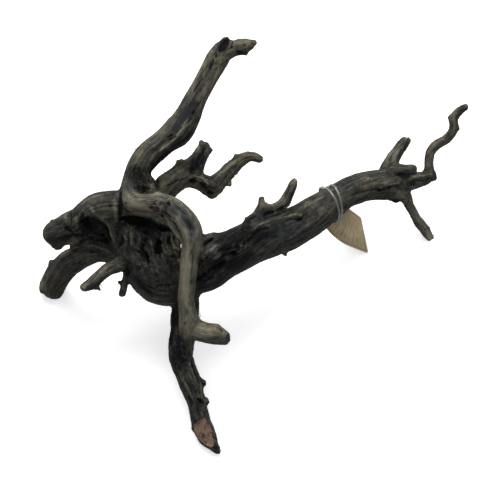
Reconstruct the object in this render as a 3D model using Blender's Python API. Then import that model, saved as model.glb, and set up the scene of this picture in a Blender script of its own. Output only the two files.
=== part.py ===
"""Aquarium driftwood, with a kraft card tag that a clear elastic band holds to its main branch.

The wood is drawn as on a board, in millimetres to the right and down from the board's upper left
corner, with a third number for how far a point stands out of the board. The board leans back, and
its viewer looks down at VIEW_ELEVATION on the piece as it rests. The part itself is in metres,
+Z up, with its origin at the bottom centre of its bounding box.
"""

import math

import bmesh
import bpy
import numpy as np

MM = 0.001
BOARD_MIDDLE = (240.0, 240.0)
VIEW_ELEVATION = math.radians(55.0)
VIEWING_DISTANCE = 2000.0
# Where the board's middle stands in the part's frame.
BOARD_PLACE = (-15.8, 7.2, 97.0)

PATH_STEP = 5.0
RING_POINTS = 18
DOME_RINGS = 4
FUSE_GRAIN = 2.0 * MM
FUSE_SMOOTHING = 2
SHARE_OF_FACES_KEPT = 0.095
FLOOR_BLOCK = (0.9, 0.9, 0.1)

# Every limb is a row of stations: right, down, out, radius.
TRUNK = (
    (176, 270, -10, 30),
    (204, 266, -9, 28),
    (217, 260, -12, 26.6),
    (241.5, 248, -22, 22.3),
    (260, 239, -31, 22.2),
    (284.5, 231.5, -43, 20.4),
    (303.5, 221.5, -53, 19.5),
    (320.5, 210.5, -62, 18.3),
    (331, 203.3, -67, 16.6),
    (345, 193.8, -75, 15.3),
    (357, 188.7, -81, 15.2),
    (372, 185.2, -88, 14.8),
    (388, 185, -95, 15.8),
    (400, 182.5, -101, 12),
    (412, 180.5, -106, 9.3),
    (424, 178.5, -110, 7),
    (434, 177, -113, 4),
)
BODY = (
    (137, 208, -14, 20),
    (143, 230, -14, 31),
    (155, 246, -13, 37),
    (166, 257, -13, 44),
    (168, 262, -12, 44.5),
)
UPPER_LIMB = (
    (142, 208, -8, 20),
    (139, 190, -8, 20),
    (138.3, 172, -9, 13.4),
    (147, 156.5, -10, 13.6),
    (163.5, 142.5, -11, 13),
    (178, 130.5, -12, 15.3),
    (187, 117, -12, 13.5),
    (195, 100, -11, 11.8),
    (202.8, 84.5, -10, 10.8),
    (210.7, 70, -9, 10.8),
    (218.5, 57, -9, 11.2),
    (223.5, 47.5, -8, 9),
    (226, 42.3, -7, 5.6),
)
UPPER_STUB = (
    (220, 55, -8, 9),
    (234, 48.5, -6, 8),
    (243, 46.7, -4, 8.2),
    (250, 44.3, -3, 5.8),
    (254, 43.4, -3, 3.8),
)
REAR_LIMB = (
    (158, 196, -26, 14),
    (170, 184.5, -32, 12.8),
    (183, 175, -36, 12.6),
    (191, 171, -38, 13),
    (197, 160.5, -41, 9),
    (202, 152, -44, 7.8),
    (204.5, 149, -45, 6.6),
)
REAR_FORK = (
    (186, 176, -36, 11),
    (196, 179.5, -38, 9.3),
    (204, 183, -40, 8.8),
    (211.5, 186.5, -43, 10.2),
    (222, 179, -46, 8.2),
    (232, 169.8, -48, 7.6),
    (238.5, 163, -49, 7),
    (245, 158.3, -50, 5.9),
    (252, 156.5, -51, 4.7),
    (258, 157.3, -52, 3.8),
    (261, 159.3, -52, 2.8),
)
REAR_KNOB = (
    (184, 172, -36, 7),
    (181, 164, -34, 4.8),
)
KNOB_LIMB = (
    (138, 216, -10, 20),
    (124, 210.5, -8, 20),
    (110, 209, -5, 18.5),
    (96, 211, -4, 17),
    (82, 220.5, -6, 14.8),
    (68, 229, -9, 15),
    (56, 233.5, -12, 13),
)
KNOB_NUB = (
    (60, 238, -12, 8),
    (57.5, 244.3, -13, 5.8),
)
HOLLOW_WALL = (
    (130, 238, -22, 24),
    (108, 239, -34, 16),
    (90, 241, -40, 11),
    (77, 244, -43, 7.5),
)
NOSE = (
    (110, 220, 0, 9),
    (113, 233, -2, 8),
    (117, 246, -6, 5),
    (118.5, 251, -8, 3),
)
STUMP = (
    (126, 250, -14, 14),
    (112, 253, -20, 10.5),
    (97, 254, -29, 9),
    (86, 256, -39, 10.8),
    (71, 262, -53, 13.2),
    (60.3, 272.5, -66, 13.6),
    (50.3, 290.5, -78, 12.6),
)
SMALL_BRANCH = (
    (124, 262, -6, 9),
    (118, 265, -2, 7),
    (108, 269, 2, 6.4),
    (100, 276, 6, 6.2),
    (91, 284.5, 10, 6.4),
    (85.5, 287.5, 13, 5.2),
)
SPUR_TWIG = (
    (130, 268, -8, 7),
    (127, 275, -8, 4.6),
    (124.7, 283, -9, 3.7),
    (122.5, 291, -10, 3.4),
    (121.3, 296, -10, 3.2),
)
CROOK = (
    (137, 216, 2, 13),
    (130.5, 206.5, 18, 12),
    (138, 205, 25, 12.2),
    (150, 205.5, 30, 12),
    (162, 206.5, 35, 13),
    (174, 212.3, 39, 13.8),
    (186.5, 226.6, 42, 14.2),
    (191.8, 240, 42, 11.8),
    (189.5, 255, 40, 9),
    (188.5, 270, 37, 8.9),
    (187, 285, 33, 8.6),
    (186.5, 300, 28, 8.2),
    (188, 312, 23, 9),
    (190, 327, 16, 11),
    (189, 340, 10, 8),
)
CROOK_STUB = (
    (190, 327, 14, 11),
    (204, 332.5, 20, 10.3),
    (216, 334.5, 24, 10),
    (223.5, 337, 27, 7.2),
)
LEG = (
    (184, 288, -14, 16),
    (186, 305, -12, 14),
    (185, 319, -9, 13.7),
    (183.2, 332, -5, 13.4),
    (180.2, 349, 0, 13.1),
    (181.4, 362, 5, 12.2),
    (187, 376, 10, 11.8),
    (192.5, 389, 15, 11),
    (196.3, 402, 19, 9.8),
    (199.6, 415.5, 23, 9.8),
    (202.4, 428, 26, 10),
    (206.6, 438, 28, 8.6),
    (212.4, 446, 30, 6),
    (216.8, 450.5, 31, 3.6),
)
LEG_UPPER_KNOT = (
    (195, 381, 12, 7),
    (203, 383, 13, 4),
)
LEG_LOWER_KNOT = (
    (198, 400, 19, 8),
    (205, 402, 20, 4.5),
)
ARCH = (
    (198, 250, -2, 8),
    (207, 241.5, -6, 7),
    (216, 238.5, -10, 6.2),
    (226, 239.5, -15, 6),
)
TOP_TWIG = (
    (238, 240, -20, 10),
    (247, 228.5, -24, 9),
    (256, 218, -28, 7.4),
    (266, 211, -31, 5.6),
    (276, 207, -34, 4.8),
    (284.7, 201.7, -36, 5.6),
    (289, 193, -36, 4.6),
    (292, 186.5, -35, 4.2),
    (294, 182.9, -34, 3.6),
)
TOP_SPRIG = (
    (259, 213, -28, 5),
    (261.5, 205, -27, 3),
    (261.8, 200.5, -26, 2.6),
)
RIGHT_PRONG = (
    (390, 179, -98, 10),
    (391, 170, -99, 8),
    (393, 160, -100, 7),
    (398, 151, -102, 5.4),
    (402.5, 145, -103, 5.3),
    (404.8, 142, -103, 5),
)
RIGHT_STUB = (
    (394, 173, -93, 8),
    (403, 171.3, -90, 5.4),
    (412, 170.5, -87, 5),
)
WAVY_TWIG = (
    (428, 179, -110, 6),
    (428.6, 171, -110, 5),
    (428.3, 160, -109, 4.9),
    (430.5, 150.5, -107, 4.8),
    (437, 144, -104, 4.7),
    (445.5, 139, -101, 4.7),
    (451.8, 132.5, -99, 4.6),
    (454, 126, -98, 4.4),
    (453.3, 119.5, -99, 4.3),
    (457, 113.5, -101, 4.2),
    (462.5, 108.8, -102, 3.8),
    (465.3, 107, -102, 3.2),
)
DOWN_TWIG = (
    (396, 186.5, -98, 14),
    (403, 194, -102, 8.4),
    (408, 203.5, -106, 5.6),
    (413.8, 213.5, -110, 5),
    (420.5, 224, -114, 5.1),
    (426.5, 232, -117, 5),
    (430, 237.5, -119, 4.2),
)
ROUND_ENDED = (
    TRUNK,
    BODY,
    UPPER_LIMB,
    UPPER_STUB,
    REAR_LIMB,
    REAR_FORK,
    REAR_KNOB,
    KNOB_LIMB,
    KNOB_NUB,
    HOLLOW_WALL,
    NOSE,
    SMALL_BRANCH,
    CROOK,
    CROOK_STUB,
    LEG,
    LEG_UPPER_KNOT,
    LEG_LOWER_KNOT,
    ARCH,
    TOP_TWIG,
    TOP_SPRIG,
    RIGHT_PRONG,
    RIGHT_STUB,
    WAVY_TWIG,
    DOWN_TWIG,
)
SAWN_ENDED = (
    STUMP,
    SPUR_TWIG,
)
# The gap between body and trunk, which shows beside the crook limb and widens to the back.
GAP = (
    (182, 247, 27, 4),
    (183, 247, -10, 5.5),
    (185, 246, -35, 11),
    (188, 245, -75, 20),
)

# The card hangs down behind the branch to the surface below: its left and right edge, row by row.
CARD_ROWS = (
    ((319.1, 187.4, -68.1), (321.2, 186, -69.4)),
    ((318.4, 192.3, -73.1), (323.4, 189.5, -75.6)),
    ((316.6, 197.6, -78), (329.7, 189.9, -84.9)),
    ((313.5, 204.9, -81.8), (333.4, 192.4, -92.1)),
    ((313.2, 213.3, -84.5), (337.5, 195.3, -100.3)),
    ((317.8, 221.2, -85.7), (341.4, 199.5, -106.3)),
    ((325.6, 227.6, -87), (345.6, 204, -109.5)),
    ((332.3, 235, -92), (349.2, 208.6, -116)),
    ((343, 243, -98.5), (353, 212, -122.5)),
    ((354, 248, -103.5), (356.6, 215, -128)),
    ((367, 253, -108), (360, 218, -134)),
)
CARD_THICKNESS = 0.5
CARD_STEP = 3.0
CARD_COLUMNS = 9
# The hole that the band runs through: how far along the branch, how far round it, and its radius.
HOLE_ASIDE = 5.0
HOLE_ANGLE = math.radians(141.0)
HOLE_RADIUS = 4.4
HOLE_DEPTH = 12.0
HOLE_SIDES = 32

# The band's middle on the branch, and how its double loop lies.
BAND_MIDDLE = (331, 203.3, -67, 16.6)
BAND_BRANCH_END = (345, 193.8, -75, 15.3)
BAND_THICKNESS = 2.1
BAND_GAP = 0.5
BAND_SHIFT = 2.0
BAND_LEAN = 5.2
BAND_SPREAD = 3.2
BAND_CROSSING_LIFT = 2.5
# It lies on the card's tip at one angle, and is drawn together at the hole.
BAND_CARD_LIFT = 1.7
BAND_CARD_ANGLE = math.radians(106.0)
BAND_CARD_SPAN = math.radians(25.0)
BAND_PINCH = 0.6
BAND_PINCH_SPAN = math.radians(25.0)
BAND_POINTS = 96

WOOD_COLOUR = (0.075, 0.069, 0.058)
CARD_COLOUR = (0.36, 0.27, 0.16)
BAND_COLOUR = (0.55, 0.57, 0.56)


def board_axes():
    """The board's directions right, down and out, in the part's frame."""
    sine = math.sin(VIEW_ELEVATION)
    cosine = math.cos(VIEW_ELEVATION)
    right = np.array((1.0, 0.0, 0.0))
    down = np.array((0.0, -sine, -cosine))
    out = np.array((0.0, -cosine, sine))
    return right, down, out


def place(stations):
    """Points in metres, and their radii, of stations drawn as the board's viewer sees them."""
    rows = np.asarray(stations, float)
    reach = 1.0 - rows[:, 2] / VIEWING_DISTANCE
    right, down, out = board_axes()
    points = np.outer((rows[:, 0] - BOARD_MIDDLE[0]) * reach, right)
    points += np.outer((rows[:, 1] - BOARD_MIDDLE[1]) * reach, down)
    points += np.outer(rows[:, 2], out) + np.array(BOARD_PLACE)
    return points * MM, rows[:, 3] * reach * MM


def smooth_path(points, radii, step):
    """Points and radii at about every step along a smooth curve through the given ones."""
    knots = np.column_stack((points, radii))
    padded = np.vstack((2 * knots[0] - knots[1], knots, 2 * knots[-1] - knots[-2]))
    rows = []
    for before, start, end, after in zip(padded, padded[1:], padded[2:], padded[3:]):
        count = max(1, round(np.linalg.norm((end - start)[:3]) / step))
        for t in np.arange(count) / count:
            bend = 2 * before - 5 * start + 4 * end - after
            twist = 3 * start - before - 3 * end + after
            rows.append(start + t * (end - before + t * (bend + t * twist)) / 2)
    rows.append(knots[-1])
    rows = np.array(rows)
    return rows[:, :3], rows[:, 3]


def tangents_of(points):
    along = np.gradient(points, axis=0)
    return along / np.linalg.norm(along, axis=1)[:, None]


def carried_sides(tangents):
    """A direction across each tangent, carried along the path without a twist."""
    helper = np.eye(3)[np.argmin(np.abs(tangents[0]))]
    side = helper
    sides = []
    for tangent in tangents:
        side = side - tangent * (side @ tangent)
        side = side / np.linalg.norm(side)
        sides.append(side)
    return np.array(sides)


def domed(points, radii, tangents):
    """The path with a dome of smaller rings past its last point."""
    turns = np.linspace(0, math.pi / 2, DOME_RINGS + 1)[1:-1]
    extra = [points[-1] + tangents[-1] * radii[-1] * math.sin(turn) for turn in turns]
    narrower = [radii[-1] * math.cos(turn) for turn in turns]
    return np.vstack((points, extra)), np.append(radii, narrower)


def add_limb(bm, stations, round_end):
    """Adds a closed round tube along the stations to the mesh."""
    points, radii = smooth_path(*place(stations), PATH_STEP * MM)
    if round_end:
        points, radii = domed(points, radii, tangents_of(points))
    tangents = tangents_of(points)
    sides = carried_sides(tangents)
    turns = np.arange(RING_POINTS) * 2 * math.pi / RING_POINTS
    rings = []
    for point, radius, tangent, side in zip(points, radii, tangents, sides):
        other = np.cross(tangent, side)
        ring = [point + radius * (math.cos(a) * side + math.sin(a) * other) for a in turns]
        rings.append([bm.verts.new(corner) for corner in ring])
    for ring, following in zip(rings, rings[1:]):
        for i in range(RING_POINTS):
            j = (i + 1) % RING_POINTS
            bm.faces.new((ring[i], ring[j], following[j], following[i]))
    bm.faces.new(rings[0][::-1])
    bm.faces.new(rings[-1])


def mesh_object(name, bm):
    mesh = bpy.data.meshes.new(name)
    bmesh.ops.recalc_face_normals(bm, faces=bm.faces)
    bm.to_mesh(mesh)
    bm.free()
    mesh.shade_smooth()
    made = bpy.data.objects.new(name, mesh)
    bpy.context.scene.collection.objects.link(made)
    return made


def cutter_object(name, bm):
    cutter = mesh_object(name, bm)
    cutter.hide_render = True
    cutter.display_type = "WIRE"
    return cutter


def give_material(made, colour, roughness, alpha=1.0):
    material = bpy.data.materials.new(made.name)
    material.use_nodes = True
    surface = material.node_tree.nodes["Principled BSDF"]
    surface.inputs["Base Color"].default_value = (*colour, 1.0)
    surface.inputs["Roughness"].default_value = roughness
    surface.inputs["Metallic"].default_value = 0.0
    surface.inputs["Alpha"].default_value = alpha
    made.data.materials.append(material)


def gap_cutter():
    bm = bmesh.new()
    add_limb(bm, GAP, round_end=False)
    return cutter_object("gap_cutter", bm)


def floor_cutter():
    """A block whose top is the surface that the piece rests on, so the feet get small flats."""
    bm = bmesh.new()
    bmesh.ops.create_cube(bm, size=1.0)
    bmesh.ops.scale(bm, vec=FLOOR_BLOCK, verts=bm.verts)
    bmesh.ops.translate(bm, vec=(0.0, 0.0, -FLOOR_BLOCK[2] / 2), verts=bm.verts)
    return cutter_object("floor_cutter", bm)


def cut(made, cutter):
    boolean = made.modifiers.new(cutter.name, "BOOLEAN")
    boolean.operation = "DIFFERENCE"
    boolean.object = cutter


def fuse(made, grain):
    """Makes the overlapping limbs one skin, with softened forks."""
    remesh = made.modifiers.new("fuse", "REMESH")
    remesh.mode = "VOXEL"
    remesh.voxel_size = grain
    smooth = made.modifiers.new("soften", "SMOOTH")
    smooth.factor = 0.5
    smooth.iterations = FUSE_SMOOTHING


def build_wood():
    bm = bmesh.new()
    for stations in ROUND_ENDED:
        add_limb(bm, stations, round_end=True)
    for stations in SAWN_ENDED:
        add_limb(bm, stations, round_end=False)
    wood = mesh_object("driftwood", bm)
    fuse(wood, FUSE_GRAIN)
    cut(wood, gap_cutter())
    thin = wood.modifiers.new("thin", "DECIMATE")
    thin.ratio = SHARE_OF_FACES_KEPT
    cut(wood, floor_cutter())
    give_material(wood, WOOD_COLOUR, roughness=0.85)


def card_rows():
    """The card's left and right edge points, along smooth curves through its rows."""
    edges = []
    for side in (0, 1):
        stations = [(*row[side], 0.0) for row in CARD_ROWS]
        knots, _ = place(stations)
        edges.append(knots)
    length = sum(np.linalg.norm(np.diff(edges[0], axis=0), axis=1))
    count = round(length / (CARD_STEP * MM) / (len(CARD_ROWS) - 1))
    pairs = np.hstack(edges)
    padded = np.vstack((2 * pairs[0] - pairs[1], pairs, 2 * pairs[-1] - pairs[-2]))
    rows = []
    for before, start, end, after in zip(padded, padded[1:], padded[2:], padded[3:]):
        for t in np.arange(count) / count:
            bend = 2 * before - 5 * start + 4 * end - after
            twist = 3 * start - before - 3 * end + after
            rows.append(start + t * (end - before + t * (bend + t * twist)) / 2)
    rows.append(pairs[-1])
    return [(row[:3], row[3:]) for row in rows]


def build_card():
    bm = bmesh.new()
    shares = np.linspace(0.0, 1.0, CARD_COLUMNS)
    grid = []
    for left, right in card_rows():
        grid.append([bm.verts.new(left + (right - left) * share) for share in shares])
    for row, following in zip(grid, grid[1:]):
        for i in range(CARD_COLUMNS - 1):
            bm.faces.new((row[i], row[i + 1], following[i + 1], following[i]))
    card = mesh_object("tag_card", bm)
    thick = card.modifiers.new("thickness", "SOLIDIFY")
    thick.thickness = CARD_THICKNESS * MM
    thick.offset = 0.0
    cut(card, hole_cutter())
    give_material(card, CARD_COLOUR, roughness=0.9)


def branch_frame():
    """The branch under the band: its middle, radius, direction, and the ways front and top."""
    (middle, end), (radius, _) = place((BAND_MIDDLE, BAND_BRANCH_END))
    along = (end - middle) / np.linalg.norm(end - middle)
    out = board_axes()[2]
    front = out - along * (out @ along)
    front = front / np.linalg.norm(front)
    return middle, radius, along, front, np.cross(front, along)


def hole_cutter():
    """A round bar across the card where the band runs through it."""
    middle, radius, along, front, top = branch_frame()
    outward = math.cos(HOLE_ANGLE) * front + math.sin(HOLE_ANGLE) * top
    other = np.cross(outward, along)
    centre = middle + along * HOLE_ASIDE * MM + outward * radius
    bm = bmesh.new()
    rings = []
    for reach in (-HOLE_DEPTH / 2, HOLE_DEPTH / 2):
        ring = []
        for a in np.arange(HOLE_SIDES) * 2 * math.pi / HOLE_SIDES:
            aside = math.cos(a) * along + math.sin(a) * other
            ring.append(bm.verts.new(centre + outward * reach * MM + aside * HOLE_RADIUS * MM))
        rings.append(ring)
    for i in range(HOLE_SIDES):
        j = (i + 1) % HOLE_SIDES
        bm.faces.new((rings[0][i], rings[0][j], rings[1][j], rings[1][i]))
    bm.faces.new(rings[0][::-1])
    bm.faces.new(rings[1])
    return cutter_object("hole_cutter", bm)


def away(angle, other):
    """How far the two angles are apart, in radians, with a sign."""
    return (angle - other + math.pi) % (2 * math.pi) - math.pi


def band_points():
    """One closed run that goes twice round the branch and crosses itself below it."""
    middle, radius, along, front, top = branch_frame()
    points = []
    for turn in np.arange(BAND_POINTS) * 4 * math.pi / BAND_POINTS:
        angle = turn - math.pi / 2
        on_card = math.exp(-((away(angle, BAND_CARD_ANGLE) / BAND_CARD_SPAN) ** 2))
        in_hole = math.exp(-((away(angle, HOLE_ANGLE) / BAND_PINCH_SPAN) ** 2))
        stand_off = BAND_GAP + BAND_THICKNESS / 2
        stand_off += BAND_CROSSING_LIFT * max(0.0, math.cos(turn / 2)) ** 8
        stand_off += BAND_CARD_LIFT * on_card
        spread = BAND_SPREAD * math.sin(turn / 2) * (1.0 - BAND_PINCH * in_hole)
        aside = BAND_SHIFT + BAND_LEAN * math.sin(angle) + spread
        outward = math.cos(angle) * front + math.sin(angle) * top
        points.append(middle + outward * (radius + stand_off * MM) + along * aside * MM)
    return points


def build_band():
    curve = bpy.data.curves.new("tag_band", "CURVE")
    curve.dimensions = "3D"
    curve.bevel_depth = BAND_THICKNESS / 2 * MM
    curve.bevel_resolution = 2
    points = band_points()
    spline = curve.splines.new("POLY")
    spline.points.add(len(points) - 1)
    for corner, point in zip(spline.points, points):
        corner.co = (*point, 1.0)
    spline.use_cyclic_u = True
    spline.use_smooth = True
    band = bpy.data.objects.new("tag_band", curve)
    bpy.context.scene.collection.objects.link(band)
    give_material(band, BAND_COLOUR, roughness=0.25, alpha=0.6)


def clear_scene():
    for existing in list(bpy.data.objects):
        bpy.data.objects.remove(existing)


def main():
    clear_scene()
    build_wood()
    build_card()
    build_band()


main()
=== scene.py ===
"""Aquarium driftwood with a blank card tag and a clear elastic band, dressed and lit for a portrait.

Lengths are in millimetres, except where a docstring says metres.
"""

import logging
import math
from dataclasses import dataclass, field
from enum import Enum

import bpy
import numpy as np
from mathutils import Matrix, Vector
from mathutils.bvhtree import BVHTree


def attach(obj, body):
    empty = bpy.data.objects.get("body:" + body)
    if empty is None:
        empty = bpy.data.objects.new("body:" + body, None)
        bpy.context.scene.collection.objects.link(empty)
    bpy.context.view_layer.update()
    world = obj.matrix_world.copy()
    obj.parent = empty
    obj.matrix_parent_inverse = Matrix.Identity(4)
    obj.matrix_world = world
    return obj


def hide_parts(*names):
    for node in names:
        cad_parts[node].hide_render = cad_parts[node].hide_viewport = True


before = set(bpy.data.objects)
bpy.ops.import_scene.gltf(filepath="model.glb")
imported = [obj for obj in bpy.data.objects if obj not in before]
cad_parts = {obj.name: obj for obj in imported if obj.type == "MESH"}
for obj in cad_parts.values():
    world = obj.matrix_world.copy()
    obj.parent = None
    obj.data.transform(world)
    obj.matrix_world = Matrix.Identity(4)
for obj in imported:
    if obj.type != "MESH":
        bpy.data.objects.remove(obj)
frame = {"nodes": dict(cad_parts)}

Array, Thing, Socket = np.ndarray, bpy.types.Object, bpy.types.NodeSocket
Triple = tuple[float, float, float]

LOG = logging.getLogger("driftwood")
MM = 0.001
BODY = "root"

# What brings a LatticeNoise to about -0.8 to 0.8, and the middle of its size.
NOISE_GAIN = 1.6
NOISE_MIDDLE = 0.32


# Modelling by hand


def deselect_all() -> None:
    """Leaves nothing selected, so that an operator acts on new work only."""
    if bpy.context.mode != "OBJECT":
        bpy.ops.object.mode_set(mode="OBJECT")
    bpy.ops.object.select_all(action="DESELECT")


def pick(*objects: Thing) -> None:
    """Selects these objects alone, the last of them active.

    Args:
        objects: what the next operator acts on.
    """
    deselect_all()
    for chosen in objects:
        chosen.select_set(True)
        bpy.context.view_layer.objects.active = chosen


def apply_modifier(target: Thing, kind: str, **settings: object) -> None:
    """Adds a modifier, sets it up and applies it to the mesh.

    Args:
        target: the object to change.
        kind: the modifier's type, such as "REMESH".
        settings: the modifier's own properties and their values.
    """
    pick(target)
    modifier = target.modifiers.new(kind.title(), kind)
    for name, value in settings.items():
        setattr(modifier, name, value)
    bpy.ops.object.modifier_apply(modifier=modifier.name)


def joined(name: str, pieces: list[Thing]) -> Thing:
    """Joins objects into one.

    Args:
        name: the joined object's name.
        pieces: the objects to join.

    Returns:
        The joined object.
    """
    pick(*pieces)
    bpy.ops.object.join()
    made = bpy.context.object
    made.name = name
    return made


def cut_out(target: Thing, cutter: Thing) -> None:
    """Cuts the cutter out of the target, and takes the cutter away."""
    apply_modifier(target, "BOOLEAN", operation="DIFFERENCE", object=cutter)
    bpy.data.objects.remove(cutter)


def vertex_array(target: Thing, what: str = "co") -> Array:
    """Reads one vector for each vertex.

    Args:
        target: a mesh object.
        what: the vertex property, "co" or "normal".

    Returns:
        An array of one row of three numbers for each vertex.
    """
    values = np.empty(len(target.data.vertices) * 3)
    target.data.vertices.foreach_get(what, values)
    return values.reshape(-1, 3)


def write_vertices(target: Thing, points: Array) -> None:
    """Writes new places for all vertices, one row of metres for each."""
    target.data.vertices.foreach_set("co", points.ravel())
    target.data.update()


def write_attribute(target: Thing, name: str, values: Array) -> None:
    """Stores a number or a vector on each vertex for the material to read.

    Args:
        target: a mesh object.
        name: the attribute's name.
        values: one number, or one row of three numbers, for each vertex.
    """
    kind, key = ("FLOAT", "value") if values.ndim == 1 else ("FLOAT_VECTOR", "vector")
    layer = target.data.attributes.new(name, kind, "POINT")
    layer.data.foreach_set(key, values.astype(np.float32).ravel())


def unit(vectors: Array) -> Array:
    """Scales one vector, or each row of vectors, to length one."""
    return vectors / np.linalg.norm(vectors, axis=-1, keepdims=True)


def dots(first: Array, second: Array) -> Array:
    """Multiplies each row by the other array's row, as a dot product."""
    return np.einsum("ij,ij->i", first, second)


def spacings(points: Array) -> Array:
    """Gives how far each point of a line lies along it, from its first point."""
    steps = np.linalg.norm(np.diff(points, axis=0), axis=1)
    return np.concatenate(([0.0], np.cumsum(steps)))


def rounded_step(values: Array, low: float, high: float) -> Array:
    """Rises smoothly from 0 where the values are at low to 1 where they are at high."""
    share = np.clip((values - low) / (high - low), 0.0, 1.0)
    return share * share * (3.0 - 2.0 * share)


# The drawing board on which the wood is laid out


@dataclass(frozen=True)
class Board:
    """A board, that leans back and is seen square on by the camera.

    A point on it has a place to the right and down from its upper left corner, and a height out of it.

    Attributes:
        middle: the board's middle, right and down.
        elevation: how steeply the viewer looks down.
        distance: how far the viewer stands from the middle.
        place: where the middle stands in the part's frame.
    """

    middle: tuple[float, float] = (240.0, 240.0)
    elevation: float = math.radians(55.0)
    distance: float = 2000.0
    place: Triple = (-15.8, 7.2, 97.0)

    def axes(self) -> tuple[Array, Array, Array]:
        """Gives the board's directions.

        Returns:
            The unit vectors right, down and out.
        """
        sine = math.sin(self.elevation)
        cosine = math.cos(self.elevation)
        right = np.array((1.0, 0.0, 0.0))
        down = np.array((0.0, -sine, -cosine))
        out = np.array((0.0, -cosine, sine))
        return right, down, out

    def to_space(self, rows: object) -> Array:
        """Places points of the board.

        Args:
            rows: rows that start with right, down and out.

        Returns:
            The same points, in the part's frame.
        """
        rows = np.asarray(rows, float)
        right, down, out = self.axes()
        reach = 1.0 - rows[:, 2] / self.distance
        points = np.outer((rows[:, 0] - self.middle[0]) * reach, right)
        points += np.outer((rows[:, 1] - self.middle[1]) * reach, down)
        return points + np.outer(rows[:, 2], out) + np.array(self.place)

    def to_board(self, points: Array) -> Array:
        """Finds where points show on the board.

        Args:
            points: points, in the part's frame.

        Returns:
            Rows of right, down and out.
        """
        right, down, out = self.axes()
        offsets = points - np.array(self.place)
        height = offsets @ out
        reach = 1.0 - height / self.distance
        across = self.middle[0] + (offsets @ right) / reach
        along = self.middle[1] + (offsets @ down) / reach
        return np.column_stack((across, along, height))

    def eye(self) -> Array:
        """Gives the point from which the board is drawn."""
        return np.array(self.place) + self.distance * self.axes()[2]


BOARD = Board()
# Where the band goes round the main branch, in right, down and out.
BAND_PLACE = (331, 203.3, -67)


class LatticeNoise:
    """A smooth random field over space that is the same each run."""

    def __init__(self, seed: int) -> None:
        """Draws the field's table of slopes.

        Args:
            seed: which field it is.
        """
        rng = np.random.default_rng(seed)
        self.order = np.tile(rng.permutation(256), 2)
        self.slopes = unit(rng.normal(size=(256, 3)))

    def at(self, coords: Array) -> Array:
        """Reads the field.

        Args:
            coords: one row of three numbers for each reading.

        Returns:
            Numbers from about -0.8 to 0.8.
        """
        cell = np.floor(coords).astype(int)
        inside = coords - cell
        fade = inside**3 * (inside * (inside * 6.0 - 15.0) + 10.0)
        total = np.zeros(len(coords))
        for corner in np.ndindex(2, 2, 2):
            step = np.array(corner)
            index = (cell + step) & 255
            slot = self.order[self.order[self.order[index[:, 0]] + index[:, 1]] + index[:, 2]]
            pull = dots(self.slopes[slot], inside - step)
            weight = np.prod(np.where(step == 1, fade, 1.0 - fade), axis=1)
            total += weight * pull
        return total * NOISE_GAIN


def grain_noise(seed: int, places: Array, along: float, across: float) -> Array:
    """Reads a random field, from about -0.8 to 0.8, that is drawn out along the grain."""
    return LatticeNoise(seed).at(places * (1 / along, 1 / across, 1 / across))


# The wood


class LimbEnd(Enum):
    """How a limb ends."""

    ROUND = "worn round"
    SAWN = "sawn flat"


@dataclass(frozen=True)
class Limb:
    """One limb, drawn on the board.

    Attributes:
        name: what the limb is called.
        stations: rows of right, down, out and radius.
        tone: how much paler than the rest it is.
        end: how it ends.
        twist: how fast the grain turns round it, in radians for each millimetre.
        relief: how strongly its surface is fluted.
    """

    name: str
    stations: tuple
    tone: float = 0.0
    end: LimbEnd = LimbEnd.ROUND
    twist: float = 0.004
    relief: float = 1.0


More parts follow.
